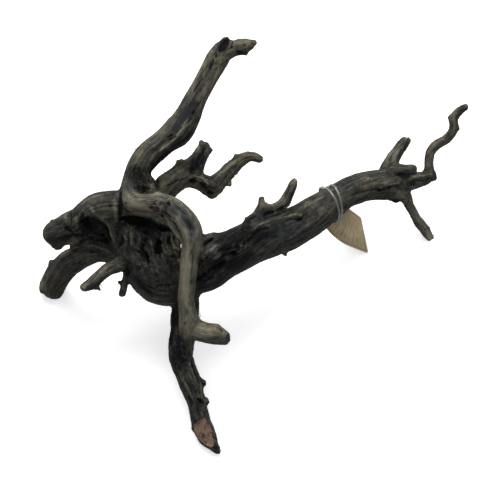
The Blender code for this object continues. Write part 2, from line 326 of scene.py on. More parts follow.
LIMBS = (
    Limb("trunk", (
        (176, 270, -10, 30), (204, 265.5, -9, 26), (217, 259.3, -12, 24), (241.5, 248, -22, 22.3),
        (260, 239, -31, 22.2), (284.5, 231.5, -43, 20.4), (303.5, 221.5, -53, 19.5),
        (320.5, 210.5, -62, 18.3), (331, 203.3, -67, 16.6), (345, 194.3, -75, 15),
        (357, 189.3, -81, 14.7), (372, 185.2, -88, 14.8), (388, 185, -95, 15.8), (400, 182.5, -101, 12),
        (412, 180.5, -106, 9.3), (424, 178.5, -110, 7), (434, 177, -113, 4),
    ), tone=-0.08, twist=0.006, relief=0.65),
    Limb("body", (
        (137, 208, -14, 20), (143, 230, -14, 31), (155, 246, -13, 37), (166, 257, -13, 44),
        (168, 262, -12, 44.5),
    ), tone=-0.26, relief=0.65),
    Limb("bowl", (
        (144, 266, -1, 17), (151, 276, 1, 19.5), (161, 282, 1, 20.5), (174, 283, 0, 20),
        (188, 276, -3, 17),
    ), tone=-0.3, relief=0.5),
    Limb("upper_limb", (
        (142, 208, -8, 20), (139, 190, -8, 20), (138.3, 172, -9, 13.4), (147, 156.5, -10, 13.6),
        (163.5, 142.5, -11, 13), (178, 130.5, -12, 15.3), (187, 117, -12, 13.5), (195, 100, -11, 11.4),
        (203.4, 84.7, -10, 10.5), (211.4, 70.3, -9, 10.5), (218.5, 57, -9, 11.2), (223.5, 47.5, -8, 9),
        (226, 42.3, -7, 5.6),
    ), tone=0.13, relief=0.45),
    Limb("upper_stub", (
        (220, 55, -8, 9), (234, 48.5, -6, 8), (243, 46.7, -4, 8.2), (250, 44.3, -3, 5.8),
        (254, 43.4, -3, 3.8),
    ), tone=0.15),
    Limb("rear_limb", (
        (158, 196, -26, 14), (170, 184.5, -32, 12.8), (183, 175, -36, 12.6), (191, 171, -38, 13),
        (198, 160.5, -41, 8.6), (203, 152, -44, 7.4), (205.3, 148.6, -45, 6.6),
    ), tone=0.12, relief=0.8),
    Limb("rear_fork", (
        (186, 176, -36, 11), (196, 179.5, -38, 9.3), (204, 183, -40, 8.8), (211.5, 186.5, -43, 10.2),
        (221.5, 178, -46, 7.5), (231, 168.8, -48, 6.9), (238, 162, -49, 6.4), (245, 157.8, -50, 5.7),
        (252, 156.3, -51, 5), (257, 157.4, -52, 4.7), (259.4, 158.6, -52, 4.4),
    ), tone=0.24),
    Limb("rear_knob", ((184, 172, -36, 7), (180.5, 163.4, -34, 4.9)), tone=0.15),
    Limb("knob_limb", (
        (138, 216, -10, 20), (124, 210.5, -8, 20), (110, 209, -5, 18.5), (96, 211, -4, 17),
        (82, 220.5, -6, 14.8), (68, 229, -9, 15), (56, 233.5, -12, 13),
    ), tone=-0.18, relief=0.7),
    Limb("knob_nub", ((60, 238, -12, 8), (57.5, 244.3, -13, 5.8)), tone=-0.25),
    # The wall at the back of the hollow below the knob limb; its lower tone is painted shade.
    Limb("hollow_wall", (
        (130, 238, -22, 24), (108, 239, -34, 16), (90, 241, -40, 11), (77, 244, -43, 7.5),
    ), tone=-0.3),
    Limb("nose", ((110, 220, 0, 9), (113, 233, -2, 8), (117, 246, -6, 5), (118.5, 251, -8, 3))),
    Limb("stump", (
        (126, 250, -14, 14), (112, 253, -20, 10.5), (97, 254, -29, 9), (86, 256, -39, 10.8),
        (71, 262, -53, 13.2), (60.3, 272.5, -66, 13.6), (49.8, 291.6, -79, 12.8),
    ), tone=-0.06, end=LimbEnd.SAWN, relief=0.7),
    Limb("small_branch", (
        (124, 262, -6, 9), (118, 265, -2, 7), (108, 269, 2, 6.4), (100, 276, 6, 6.2),
        (91, 284.5, 10, 6.4), (85.5, 287.5, 13, 5.2),
    ), tone=0.08),
    Limb("spur_twig", (
        (130, 268, -8, 7), (127, 275, -8, 4.6), (124.7, 283, -9, 3.7), (122.5, 291, -10, 3.4),
        (121.3, 296, -10, 3.2),
    ), tone=-0.05, end=LimbEnd.SAWN),
    Limb("crook", (
        (129.5, 183, -3, 8), (130, 193, 9, 8), (132.6, 201, 19, 9.6), (140, 205.6, 25, 10.9),
        (150, 206, 30, 11.6), (161, 206.6, 35, 13), (174, 212.3, 39, 13.8), (186.5, 226.6, 42, 14.2),
        (191.8, 240, 42, 11.8), (189.5, 255, 40, 9), (188.5, 270, 37, 8.9), (187, 285, 33, 8.6),
        (186.5, 300, 28, 8.2), (188, 312, 23, 9), (190, 327, 16, 11), (187, 342, 6, 7),
    ), tone=0.28, twist=0.002, relief=0.4),
    Limb("crook_stub", (
        (190, 327, 14, 11), (204, 332.5, 20, 10.3), (216, 334.5, 24, 10), (224, 337.8, 27, 7.4),
        (228.6, 338.6, 29, 6.4),
    ), tone=0.26, end=LimbEnd.SAWN, relief=0.6),
    Limb("leg", (
        (184, 288, -14, 16), (186, 305, -12, 14), (185, 319, -9, 13.7), (183.2, 332, -5, 13.4),
        (180.4, 349, 0, 12.7), (182, 362, 5, 11.5), (187.6, 376, 10, 11.1), (192.5, 389, 15, 11),
        (196.3, 402, 19, 9.8), (199.6, 415.5, 23, 9.8), (203.4, 428, 26, 9.8), (207.8, 438, 28, 8.3),
        (213.2, 446, 30, 5.8), (217.2, 450.7, 31, 3.8),
    ), tone=-0.08),
    Limb("leg_upper_knot", ((195, 381, 12, 7), (203, 383, 13, 4)), tone=-0.05),
    Limb("leg_lower_knot", ((198, 400, 19, 8), (205, 402, 20, 4.5)), tone=-0.1),
    Limb("arch", (
        (198, 250, -2, 8), (207, 241.5, -6, 7), (216, 238.5, -10, 6.2), (226, 239.5, -15, 6),
    ), tone=-0.1),
    Limb("top_twig", (
        (238, 240, -20, 10), (248, 229.5, -24, 8.4), (256.5, 219, -28, 6.8), (266, 211.5, -31, 5.4),
        (277, 207.6, -34, 4.6), (285.4, 201.9, -36, 5.8), (289.8, 193, -36, 5), (292.6, 186.3, -35, 4.7),
        (294.2, 182.8, -34, 4.2),
    )),
    Limb("top_sprig", ((259, 213, -28, 5), (261.3, 206, -27, 4), (261.4, 199.6, -26, 3.7)), tone=-0.06),
    Limb("right_prong", (
        (389, 179, -98, 12), (389.3, 170, -99, 10), (392.3, 161, -100, 7.7), (397.8, 151.5, -102, 6.2),
        (402.5, 145, -103, 5.9), (404.6, 141.8, -103, 5.4),
    ), tone=0.06),
    Limb("right_stub", ((394, 172, -93, 8.6), (403, 170, -90, 6.2), (412, 169.4, -87, 5.5))),
    Limb("wavy_twig", (
        (428, 179, -110, 6), (429, 171, -110, 5.4), (429, 160, -109, 5.2), (431.4, 150.8, -107, 5.1),
        (437.6, 144.4, -104, 5), (446, 139.4, -101, 4.9), (452, 132.8, -99, 4.8), (454, 126, -98, 4.6),
        (453.1, 119.5, -99, 4.5), (457, 113.3, -101, 4.4), (462.5, 108.7, -102, 4),
        (465.6, 106.8, -102, 3.4),
    ), tone=0.02),
    Limb("down_twig", (
        (396, 186.5, -98, 14), (403, 194, -102, 8.4), (408, 203.5, -106, 5.6), (413.8, 213.5, -110, 5),
        (420.5, 224, -114, 5.1), (426.5, 232, -117, 5), (430, 237.5, -119, 4.2),
    ), tone=0.06),
)


@dataclass
class LimbPath:
    """The smooth middle line of a limb, in the part's frame.

    Attributes:
        limb: the limb it belongs to.
        step: about how far its points lie apart.
        points: its points.
        radii: the limb's radius at each point.
    """

    limb: Limb
    step: float
    points: Array = field(init=False)
    radii: Array = field(init=False)

    def __post_init__(self) -> None:
        """Runs a smooth curve through the limb's stations."""
        rows = np.asarray(self.limb.stations, float)
        reach = 1.0 - rows[:, 2] / BOARD.distance
        knots = np.column_stack((BOARD.to_space(rows), rows[:, 3] * reach))
        curve = smooth_curve(knots, self.step)
        self.points = curve[:, :3]
        self.radii = curve[:, 3]

    def tangents(self) -> Array:
        """Gives the way the line runs at each point, as a unit vector."""
        return unit(np.gradient(self.points, axis=0))

    def sides(self) -> Array:
        """Carries one direction across the line along it, without a twist.

        Returns:
            One unit vector for each point.
        """
        tangents = self.tangents()
        side = np.eye(3)[np.argmin(np.abs(tangents[0]))]
        rows = []
        for tangent in tangents:
            side = unit(side - tangent * (side @ tangent))
            rows.append(side)
        return np.array(rows)


def smooth_curve(knots: Array, step: float) -> Array:
    """Runs a smooth curve through rows of numbers.

    Args:
        knots: rows whose first three numbers are a place.
        step: about how far the curve's points lie apart.

    Returns:
        Rows like those of knots.
    """
    padded = np.vstack((2 * knots[0] - knots[1], knots, 2 * knots[-1] - knots[-2]))
    rows = []
    for before, start, end, after in zip(padded, padded[1:], padded[2:], padded[3:]):
        count = max(1, round(np.linalg.norm((end - start)[:3]) / step))
        for t in np.arange(count) / count:
            bend = 2 * before - 5 * start + 4 * end - after
            turn = 3 * start - before - 3 * end + after
            rows.append(start + t * (end - before + t * (bend + t * turn)) / 2)
    rows.append(knots[-1])
    return np.array(rows)


def tube(
    name: str, points: Array, radii: Array, roundness: int, ring: bool = False
) -> Thing:
    """Models a closed tube as a bevelled curve and makes it a mesh.

    Args:
        name: the object's name.
        points: the tube's middle line.
        radii: its radius at each point.
        roundness: the curve's bevel resolution.
        ring: whether it runs back into its start.

    Returns:
        The mesh object.
    """
    deselect_all()
    bpy.ops.curve.primitive_nurbs_path_add(location=(0.0, 0.0, 0.0))
    made = bpy.context.object
    made.name = name
    curve = made.data
    curve.splines.clear()
    line = curve.splines.new("POLY")
    line.points.add(len(points) - 1)
    for corner, point, radius in zip(line.points, points, radii):
        corner.co = (*(point * MM), 1.0)
        corner.radius = radius
    line.use_cyclic_u = ring
    curve.bevel_depth = MM
    curve.bevel_resolution = roundness
    curve.use_fill_caps = True
    bpy.ops.object.convert(target="MESH")
    return bpy.context.object


class Channel(Enum):
    """What a carving colours."""

    TONE = "tone"
    SCAR = "scar"
    CUT = "cut"
    RED = "red"
    COOL = "cool"


TONE, SCAR, CUT, RED, COOL = Channel


@dataclass(frozen=True)
class Carving:
    """A groove, pit, ridge or patch, drawn as a line on the board.

    Attributes:
        limbs: the names of the limbs that it may touch.
        line: its middle line, right and down of each corner in turn.
        width: how far it reaches to each side.
        depth: how deep it is cut, or below zero how high it stands.
        shade: how much it adds to the channel; below zero in grooves and hollows it paints shade.
        ragged: how far its edge wanders.
        broken: how strongly the fibres break it up.
        hard: how steep its edge is.
        taper: how much of its width it loses at its ends.
        channel: what it colours.
    """

    limbs: tuple[str, ...]
    line: tuple[float, ...]
    width: float
    depth: float = 0.0
    shade: float = 0.0
    ragged: float = 1.2
    broken: float = 0.7
    hard: float = 1.0
    taper: float = 0.6
    channel: Channel = TONE


FRONT = ("body", "bowl", "trunk", "nose", "hollow_wall", "knob_limb")
KNOB = ("knob_limb", "knob_nub", "hollow_wall", "nose", "body", "stump")
TRUNK = ("trunk", "arch", "bowl", "body")
UPPER = ("upper_limb", "upper_stub")
REAR = ("rear_limb", "rear_fork", "rear_knob")
CROOK = ("crook", "crook_stub")
LEG = ("leg", "leg_upper_knot", "leg_lower_knot")
RIGHT = ("trunk", "right_prong", "right_stub", "down_twig", "wavy_twig")

# Each group holds the limbs that its carvings may touch, and then a row for each carving: its line,
# width, depth and shade, and where they differ ragged, broken, hard, taper and channel. A shade below
# zero on a groove, pit or hollow, or under another limb, is painted shade.
CARVING_GROUPS = (
    # Painted shade under the crook, over a groove cut there, and a softer band of it below.
    (("body", "upper_limb", "knob_limb", "nose"), (
        ((124, 219, 132, 220, 140, 220.5, 151, 223.5, 161, 227, 170, 228),
         6, 7, -1.2, 1.2, 0.25, 1.4, 0.45),
    )),
    (("body", "nose", "knob_limb"), (
        ((122, 224, 136, 226, 150, 231, 164, 232), 6, 1, -0.6, 2.2, 0.9, 1, 0.3),
    )),
    # Painted shade in the gap beside the knob limb, over a groove.
    (("knob_limb", "upper_limb", "body"), (
        ((121, 194, 120.6, 206, 120.4, 214, 120, 221), 3.4, 2.6, -0.9, 0.3, 0, 1, 0.3),
    )),
    # The body and its bowl: fibres, holes and the eye-shaped knot's slit with painted shade in them, and
    # a pale rim along the bottom that is a low ridge with a painted highlight.
    (FRONT, (
        ((146, 228, 150, 240, 156, 254), 15, 0, -0.22, 2.5, 0.5),
        ((150, 232, 158, 240, 166, 252), 13, 0, 0.7, 2.5, 0.7, 1, 0.6, COOL),
        ((144, 229, 145.5, 237, 144, 245), 2.8, 1.8, -0.7, 1.6),
        ((142.5, 244, 141.5, 250, 145, 256, 147, 263), 4.2, 5, -1.1, 2.2, 0.4, 1.5),
        ((148, 246, 150.5, 253), 2.2, 2.2, -0.8),
        ((158.6, 238, 157.4, 247, 158.5, 255), 4.4, 5.5, -1.1, 2, 0.3, 1.5),
        ((162, 254, 170, 257, 178, 257), 3.6, 0.8, -0.5, 1.4),
        ((125.5, 232, 126, 241, 125, 249), 1.9, -1.2, 0.5, 0.8),
        ((131, 229, 132.5, 238, 131, 247), 1.8, -1, 0.42, 0.8),
        ((138, 229, 140, 238, 137.5, 248), 2, -1, 0.42, 0.9),
        ((150, 240, 152, 247, 152.5, 256), 2, -0.9, 0.4, 1),
        ((128.5, 231, 129, 245), 1.2, 0.8, -0.35, 0.5), ((135, 231, 135, 246), 1.2, 0.8, -0.35, 0.5),
        ((167, 228, 162.4, 234, 161.6, 243, 165, 251, 174, 256), 1.6, -0.9, 0.42, 0.6, 0.3),
        ((171, 228, 166, 234, 165.4, 243, 168.6, 250, 178, 254.5), 1.5, -1, 0.45, 0.5, 0.3),
        ((169.6, 236, 169, 240, 169.6, 244), 1.5, 2.6, -1.3, 0.3, 0, 1.5),
        ((171.2, 234, 171.6, 241, 175, 247.4, 180.6, 250.4), 1.5, -1.5, 1.1, 0.3, 0.1, 1.4, 0.4),
        ((173.4, 236, 174, 240.5), 1.5, 1.4, -0.9, 0.3, 0.1),
        ((176.4, 237, 177, 243, 179, 247), 2.2, -0.8, 0.7, 0.4, 0.3),
        ((127, 256, 136, 258, 146, 263), 6, 0, 0.25, 2, 0.9),
        ((124, 257, 134, 262, 144, 268), 1.6, -0.6, 0.3, 0.6),
        ((128, 266, 140, 264.5, 155, 266, 168, 270), 2.4, -0.6, 0.25),
        ((149, 274, 157, 275), 6, 0.3, 0.2, 1.6, 2.8),
        ((157, 285.5, 164, 285, 173, 284), 1.2, 1.6, -0.8, 0.3, 0.2),
        ((158, 288.6, 166, 289, 174, 288), 1, -0.4, 0.3, 0.3),
        ((136, 280, 146, 290, 158, 295.5, 172, 296.5), 1.3, 1, -0.45, 0.6),
        ((133, 274, 143, 283.5, 155, 290, 172, 291), 1.3, 1, -0.35, 0.6),
        # Painted highlight along the bottom rim, over a low ridge.
        ((131, 286, 139, 294.5, 150, 301, 161, 303.5, 174, 302.5), 1.8, -0.5, 0.6, 0.4, 0.4),
        ((134, 281, 143, 291, 153, 297.5, 165, 299.5), 1.2, -0.4, 0.35, 0.5),
        ((127, 266, 133, 278, 142, 288, 152, 295), 4.4, 0.6, -0.6, 2, 0.4),
        ((160, 258, 170, 264, 180, 270), 7, 0.4, -0.25, 2),
        ((160, 262, 172, 272, 178, 290), 8, 0, 0.5, 2, 0.7, 1, 0.6, COOL),
    )),
    # The knob limb with a painted highlight on its top, the hollow below it painted black as painted
    # shade, and the flange in front.
    (KNOB, (
        # Painted shade in the hollow below the knob limb and along its underside, over grooves cut there.
        ((87, 221, 94, 225, 101, 231, 105.5, 239), 9, 7, -1.2, 1.2, 0.1, 1.6, 0.35),
        ((84, 223, 88, 231, 98, 237), 8, 2.5, -1, 1.6, 0.2, 1.2, 0.4),
        ((66, 236, 73, 235, 82, 235.5, 92, 238.5), 2.8, 2, -1, 0.9, 0.3),
        ((63, 223.5, 66, 228, 71, 231.5, 79, 233.5), 2.6, 1.6, -0.8, 1.4, 1.2),
        ((73, 227, 78, 231), 2.2, 1.4, -0.7, 1, 0.8), ((71, 213, 71, 224), 2.4, 1, -0.45, 0.4, 0.2),
        ((65.5, 215.5, 66, 219), 4, 0, 0.45, 0.4, 0.1), ((76, 216, 76, 221), 3.4, 0, 0.42, 0.4, 0.1),
        ((82.5, 213, 81.5, 221, 79.5, 229), 3.4, 1.2, -0.8, 0.4, 0.1),
        ((87, 206, 91, 208, 94, 212), 3.8, -1.2, 0.5, 0.4, 0.1),
        ((93, 212.5, 99, 216, 104.5, 221, 109, 228), 3.2, -0.5, 0.22, 0.8, 0.3),
        ((114.5, 199, 115.5, 209, 116, 221), 3.2, -0.8, 0.36, 0.3, 0, 1, 0.3),
        ((96, 206, 103, 210, 108, 217), 7, 0, 0.12, 2), ((90, 197, 104, 195, 116, 194.5), 3, 0, 0.18),
        ((66, 228, 72, 225), 7, 0, -0.35, 1.8, 0.4),
        # Painted highlight along the knob limb's top.
        ((79, 204, 91, 198, 104, 195.5), 6, 0, 0.35, 1.2, 0.4),
        ((109, 204, 110.5, 208), 2.4, 1.4, -0.8, 0.9), ((111, 194.5, 115, 196), 2.2, 0.6, -0.5, 0.9),
        # Painted shade on the underside of the knob limb's end.
        ((45, 241, 54, 242, 62, 239.5, 70, 236.5), 5, 1, -0.7, 0.8, 0.3),
        ((46, 226, 52, 223.5, 58, 226), 4, 0, 0.2),
        ((50, 246, 57, 246.5, 64, 244), 3.4, 0, 0.7, 1.6, 1.2, 1, 0.6, RED),
        ((70, 247, 74, 242, 79, 242), 4.4, 0, 0.9, 1.6, 1.2, 1, 0.6, RED),
        ((68, 246, 73, 240, 79, 242), 4.2, -0.6, 0.75, 1), ((84, 242.5, 90, 242), 2.8, 0, 0.75, 0.8),
        ((99, 242.5, 104, 243.5), 2.4, 0, 0.5, 0.8),
    )),
    # Painted shade on the wall at the back of the hollow.
    (("hollow_wall",), (((76, 235, 90, 231, 106, 231, 122, 236), 10, 0, -1.6, 1.2, 0, 2, 0.1),)),
    (("nose", "body", "knob_limb"), (
        ((110, 229, 112.5, 237, 115, 245, 118, 251), 3.2, -0.5, 0.32, 0.8, 0.5),
        ((110, 227, 116, 229), 3.4, 0, 0.3, 1, 0.9), ((117, 231, 118, 236), 2.4, 1, -0.6, 0.9),
        ((122.6, 236, 122, 241, 120, 246), 2.2, 3, -1.2, 0.7, 0.1),
    )),
    (("nose", "body"), (((114, 239, 117, 248), 3.6, 0, 0.8, 1.2, 0.9, 1, 0.6, RED),)),
    (("stump", "hollow_wall", "body"), (
        # Painted highlight along the stump's top rim, over a low ridge.
        ((69, 252, 76, 247.5, 84, 245.5, 92, 245, 100, 247.5, 108, 251.5, 115, 257),
         2.2, -0.5, 0.7, 0.7, 0.5),
    )),
    (("stump",), (
        ((74, 252, 88, 250, 101, 254), 2, 0.5, -0.35, 0.8),
        # Painted shade along the stump's lower edge.
        ((66, 293, 72, 280, 82, 271, 97, 265), 4.4, 0, -0.5),
        ((80, 262, 73, 271, 66, 285), 8, 0, -0.32, 1.6, 0.4), ((41, 279, 46, 291), 8, 0, 0.32, 1.6, 0.4),
        ((58, 262, 50, 273, 45, 285), 3, 0, 0.2),
        ((62, 266, 55, 279, 52, 288), 6, 0, 0.3, 2, 0.7, 1, 0.6, RED),
    )),
    (("small_branch",), (
        ((85, 287, 97, 279, 105, 271), 6, 0, 0.3, 1, 0.4),
        ((82, 284, 86, 288), 3.8, 0, 0.8, 1.2, 1.2, 1, 0.6, RED),
        ((81.5, 286, 85, 290.5), 1.8, -0.6, 0.4), ((90, 289, 97, 287), 3, 0.6, -0.4, 1.2, 1.6),
    )),
    (("small_branch", "body"), (
        # Painted highlight along the small branch's top, over a low ridge.
        ((88, 281, 97, 274.5, 107, 267, 118, 259.5), 2, -0.3, 0.45, 0.6, 0.5),
        ((106, 264, 117, 267), 6, 0, -0.35, 1.2, 0.3),
    )),
    # The main branch near the body: the arch, with painted shade in the hole under it, and furrows
    # painted black as painted shade.
    (TRUNK, (
        ((192, 292, 215, 275, 248, 254), 25, 0, -0.62, 3, 0.2),
        ((198, 266, 215, 264, 232, 255, 248, 240), 14, 0, -0.4, 3, 0.9),
        ((203.8, 245, 208.4, 241, 213, 238.6), 2.4, 3.6, -1.3, 0.4, 0.1),
        ((200, 258, 213, 248, 226, 239.5, 240, 228), 2.2, -0.7, 0.5, 0.9, 0.8),
        ((203, 262, 218, 250.5, 232, 240), 1.5, -0.4, 0.35, 0.9, 0.8),
        ((200, 251, 212, 244), 1.5, -0.5, 0.35, 0.5),
        ((213, 269, 218, 266.5, 224, 263), 4, 4.5, -1.2, 1.8, 0.4, 1.4),
        ((206, 273, 213, 269.5), 2.6, 2.8, -1, 1.6),
        ((219, 252.5, 226, 249, 233, 247.5), 3.2, 3.4, -1.1, 1.8, 0.5),
        ((223, 256, 230, 254, 237, 254), 2.4, 2.8, -1, 1.6, 0.5),
        ((233, 255, 237, 249, 238, 244), 3, 3, -1.1, 1.8, 0.5), ((196, 281, 204, 276), 3.2, 3, -1.1, 1.4),
        ((204, 282, 213, 277), 2, 2.2, -0.8), ((201, 262, 208, 258), 2, 2, -0.8, 1),
        ((196, 268, 202, 262, 209, 256), 1.8, 1.2, -0.5),
        ((243, 244.5, 249, 240.5, 257, 236), 2.6, 2.6, -1, 1.4),
        ((237, 243, 243, 240), 2.4, 2, -0.8, 1.4),
        ((226, 257, 230, 259), 3, 0, 0.7, 1.4, 1.2, 1, 0.6, RED),
        ((198, 262, 206, 270), 5, 0, 0.4, 2, 1.2, 1, 0.6, RED),
        ((213, 277, 219, 272.5, 226, 270), 1.8, -0.7, 0.7, 0.8),
        ((204, 284, 212, 280, 219, 275), 1.5, -0.5, 0.5, 0.8),
        ((236, 256.5, 243, 252.5, 251, 250), 1.5, -0.6, 0.6, 0.8),
        ((212, 260, 219, 256), 1.7, -0.8, 0.6, 0.8),
        ((239, 266, 250, 261, 262, 256), 1.5, -0.4, 0.3, 0.8),
        ((230, 262, 237, 262), 6, 0, 0.9, 2, 0.7, 1, 0.6, COOL),
        ((206, 260, 222, 260, 240, 264, 262, 254), 11, 0, -0.65, 2.6, 0.3),
    )),
    (("trunk", "top_twig"), (
        ((242, 230, 246, 224, 250, 218), 4.6, 1.2, -0.8, 1.6), ((246.5, 230, 249, 226), 2.4, 2.4, -1, 1),
        ((258, 236, 282, 224, 312, 211), 13, 0, -0.45, 2.6, 0.3, 1, 0.3),
        ((250, 232.5, 256, 227.5, 262.5, 223.5, 270, 221), 1.9, -2, 0.55, 0.6, 0.4),
        # Painted shade in the groove below the ridge.
        ((251, 236.5, 258, 231.5, 264, 228.5, 270, 227), 2.4, 2.4, -1, 0.8, 0.4),
    )),
    (("trunk", "top_twig", "arch"), (((222, 243, 240, 235, 258, 233), 15, 0, -1.1, 2.6, 0.3, 1, 0.3),)),
    # The main branch further out: the scar ridge, smooth bluish wood.
    (("trunk",), (
        ((346, 193, 362, 188, 378, 183), 9, 0, 0.45, 2.6, 1, 1, 0.6, RED),
        ((308, 216, 326, 206), 8, 0, 0.4, 2.6, 1, 1, 0.6, RED),
        ((270, 221, 279, 218.6, 287, 217.4), 1.9, -1, 0.4, 0.7),
        ((287, 217, 295, 214.8, 301.5, 215.6), 1.5, -1.9, 0.65, 0.3, 0.2),
        # Painted shade below the ridge's tip.
        ((301.6, 218.4, 297, 220), 2.2, 2.2, -1.2, 0.4, 0.1),
        ((283, 221.6, 290, 219, 298, 219.4), 1.6, 1.6, -0.8, 0.6),
        ((262, 242, 276, 237, 292, 230, 302, 222), 12, 0, 1, 2, 0.4, 1, 0.6, COOL),
        ((252, 240, 260, 240, 270, 235), 7, 0, -0.3, 2),
        ((272, 233, 282, 231, 292, 236), 5, 0, 0.25, 2.4, 1.2),
        ((272, 252, 279, 246, 284, 243), 1.6, 0.6, -0.4), ((306, 232, 312, 226), 3, 0.4, -0.3, 1.6, 1.2),
        ((306, 218, 312, 215, 318, 219), 6, 0, 0.8, 2, 0.8, 1, 0.6, COOL),
        ((292, 224, 330, 204, 368, 187, 412, 180), 24, 0, 0.2, 3, 0.3, 1, 0.3),
        ((296, 211, 312, 202, 324, 196), 3, -0.4, 0.35),
        ((340, 190, 354, 182, 370, 177.5), 3, -0.5, 0.35),
        ((344, 199, 358, 193, 372, 190, 384, 189.5), 2, 1.2, -0.55),
        ((342, 208, 356, 201, 370, 197.5, 386, 197.5), 2.4, 1, -0.5),
        ((378, 191, 392, 186, 408, 184, 418, 184), 2.6, 1.4, -0.7),
        ((374, 190, 392, 187, 412, 184), 5, 0, 0.9, 1.2, 0.7, 1, 0.6, COOL),
    )),
    (("top_twig", "trunk"), (
        ((266, 214.5, 274, 211), 2.2, 1.8, -1), ((277, 211.5, 284, 207), 2.2, 1.8, -1),
        ((251, 219, 256, 215), 2.6, 1.8, -0.8, 1.4),
        ((262, 218, 274, 213.5, 287, 208), 1.4, -0.6, 0.4, 0.7),
    )),
    (("top_twig",), (((289, 204, 292, 197, 295, 190), 2, 0.6, -0.45),)),
    # The main branch towards its far end.
    (RIGHT, (
        ((408, 179.5, 420, 176, 433, 174), 1.8, -0.9, 0.5, 0.4),
        ((396, 175, 406, 174.5, 416, 173.5), 1.5, 1.8, -0.8, 0.3, 0.2),
        ((410, 182.5, 422, 180, 432, 178), 1.4, 1.2, -0.5),
        ((383, 184, 392, 184.5, 400, 182), 2, -0.8, 0.35),
        ((380, 199, 390, 200, 398, 201.5), 3.4, 1.4, -0.6),
    )),
    # The upper limb: the hollow at its tip with painted shade in it, the smooth scar, the dark base.
    (("upper_limb",), (
        ((227.5, 40.5, 224.6, 44.5, 219.6, 50.5), 5, 1.6, -1.2, 0.6, 0.3, 1.5),
        ((219, 41, 224.6, 37, 230, 38), 1.2, -0.5, 0.4, 0.2),
        ((172, 133, 183, 124.5, 190, 115.5), 1.6, -0.6, 0.45, 0.5, 0.3),
        ((198, 113, 190, 123, 181, 132, 171, 142, 160, 151), 2.4, -1.2, 0.5, 0.9, 0.6),
        ((166.6, 137, 169, 136.6, 172.6, 134.6), 1.2, 2.6, -1.5, 0.15, 0),
        ((169.4, 139.4, 172.4, 138.4, 175.4, 136.6), 1.1, 2.2, -1.4, 0.15, 0),
        ((191.8, 114.6, 194.8, 110.4), 1.2, 2, -1.3, 0.15, 0),
        ((199, 120, 197, 128, 190, 135.5, 178, 144, 164, 154, 153, 166, 150, 173),
         5.4, 0.4, -1.1, 1.4, 0.5, 1, 0.3),
        ((133, 168, 138, 178, 146, 190), 17, 0.4, -1.1, 2.6, 0.5, 0.8),
        ((138, 176, 144, 180, 152, 183), 7, 1, -0.5, 2.6, 1.3),
        ((125, 188, 127.5, 174, 131.5, 162), 3.4, -0.3, 0.3, 1.2, 0.9),
        ((140, 156, 150, 147, 162, 136), 6, 0, 0.25, 1.6, 0.9),
    )),
    # The upper limb and its stub.
    (UPPER, (
        ((220, 58, 213, 76, 206, 96), 9, 0, 0.62, 2, 0.4, 1, 0.4),
        ((230, 52, 243, 47, 254, 44), 9, 0, 0.32, 1.4, 0.4, 1, 0.2),
        ((150, 160, 164, 150, 180, 142, 196, 128), 6, 0, 0.4, 1.4, 0.6),
        ((224, 56, 215, 74, 207, 94), 9, 0, 0.4, 2, 0.8, 1, 0.6, RED),
        ((122, 192, 126, 180, 129, 170), 8, 0, -0.45, 1.6, 0.4),
        ((233, 50, 243, 47, 250, 44), 6, 0, 0.5, 1.6, 0.9, 1, 0.6, RED),
        ((217, 49, 215.6, 58), 1.8, 1.4, -0.6, 0.7), ((214, 59, 209.5, 70), 2, 1.2, -0.5, 0.8),
        ((204, 70, 200.5, 81, 194, 92), 2.2, 1.2, -0.45, 1),
        ((224, 56, 217, 70, 209, 84, 203, 96), 3.2, -0.4, 0.3, 1.2, 0.9),
        ((222, 62, 215, 74, 209, 88), 1.2, 0.7, -0.3, 0.6),
        ((212, 51, 204, 66, 196, 82, 188, 97), 2.6, 0, 0.3, 1.2, 0.9),
        ((199, 91, 196, 98), 3.6, 0, 0.3, 1.4, 1.4),
        ((199, 92, 197, 98), 4, 0, 0.4, 1.4, 1.2, 1, 0.6, RED),
        ((232.5, 41.5, 231, 48), 1.5, 1.6, -0.8, 0.4, 0.1),
    )),
    (("upper_stub",), (
        ((235, 50.5, 241, 52.5, 247, 52), 2.4, 0.8, -0.9, 1),
        ((243.5, 41, 245, 46.5, 243, 51), 1.5, 0.9, -0.6, 0.8),
        ((231, 49, 236, 46), 4, 0, 0.6, 1.4, 1.2, 1, 0.6, RED),
        ((246, 43, 253, 43), 4, 0, 0.3, 1.4, 1.2, 1, 0.6, RED),
    )),
    # Painted shade in the creases where the upper limb meets the body and the rear limb.
    (("upper_limb", "body"), (((134, 188, 142, 190, 150, 189), 5, 2, -1.1, 1.6, 0.6),)),
    (("upper_limb", "rear_limb", "body"), (((152, 174, 156, 182, 158, 190), 3.4, 2.4, -1.2, 1.2, 0.4),)),
    # The rear limb and its fork.
    (REAR, (
        ((191, 172, 197, 162, 203, 153), 9, 0.3, -0.8, 1.2, 0.2, 1.3),
        ((158, 184, 171, 177, 187, 173), 11, 0, 0.65, 2, 0.3),
        ((197, 182, 210, 187, 222, 175, 231, 167), 8, 0, -0.4, 1.6, 0.4),
        ((191, 172, 197, 161, 202, 153), 7, 0, 1, 1.2, 0.7, 1, 0.6, COOL),
        ((200, 146, 205, 150), 3, 0.8, -0.6, 1.2, 1.2), ((196, 149, 201, 145), 2.4, -0.3, 0.5, 0.6),
        ((164, 187, 176, 181, 188, 177), 1.8, 1, -0.45),
        ((160, 180, 172, 173, 184, 170), 3, -0.5, 0.3, 1.2, 0.9),
        ((190, 181, 196, 180.5), 3.6, 2.4, -1.2, 0.9, 0.2),
        ((201, 183, 206, 189, 211, 194), 4, 1.2, -0.8, 1.2, 0.4),
        ((208, 193, 213, 193), 3.4, 0.6, -1, 0.8, 0.3),
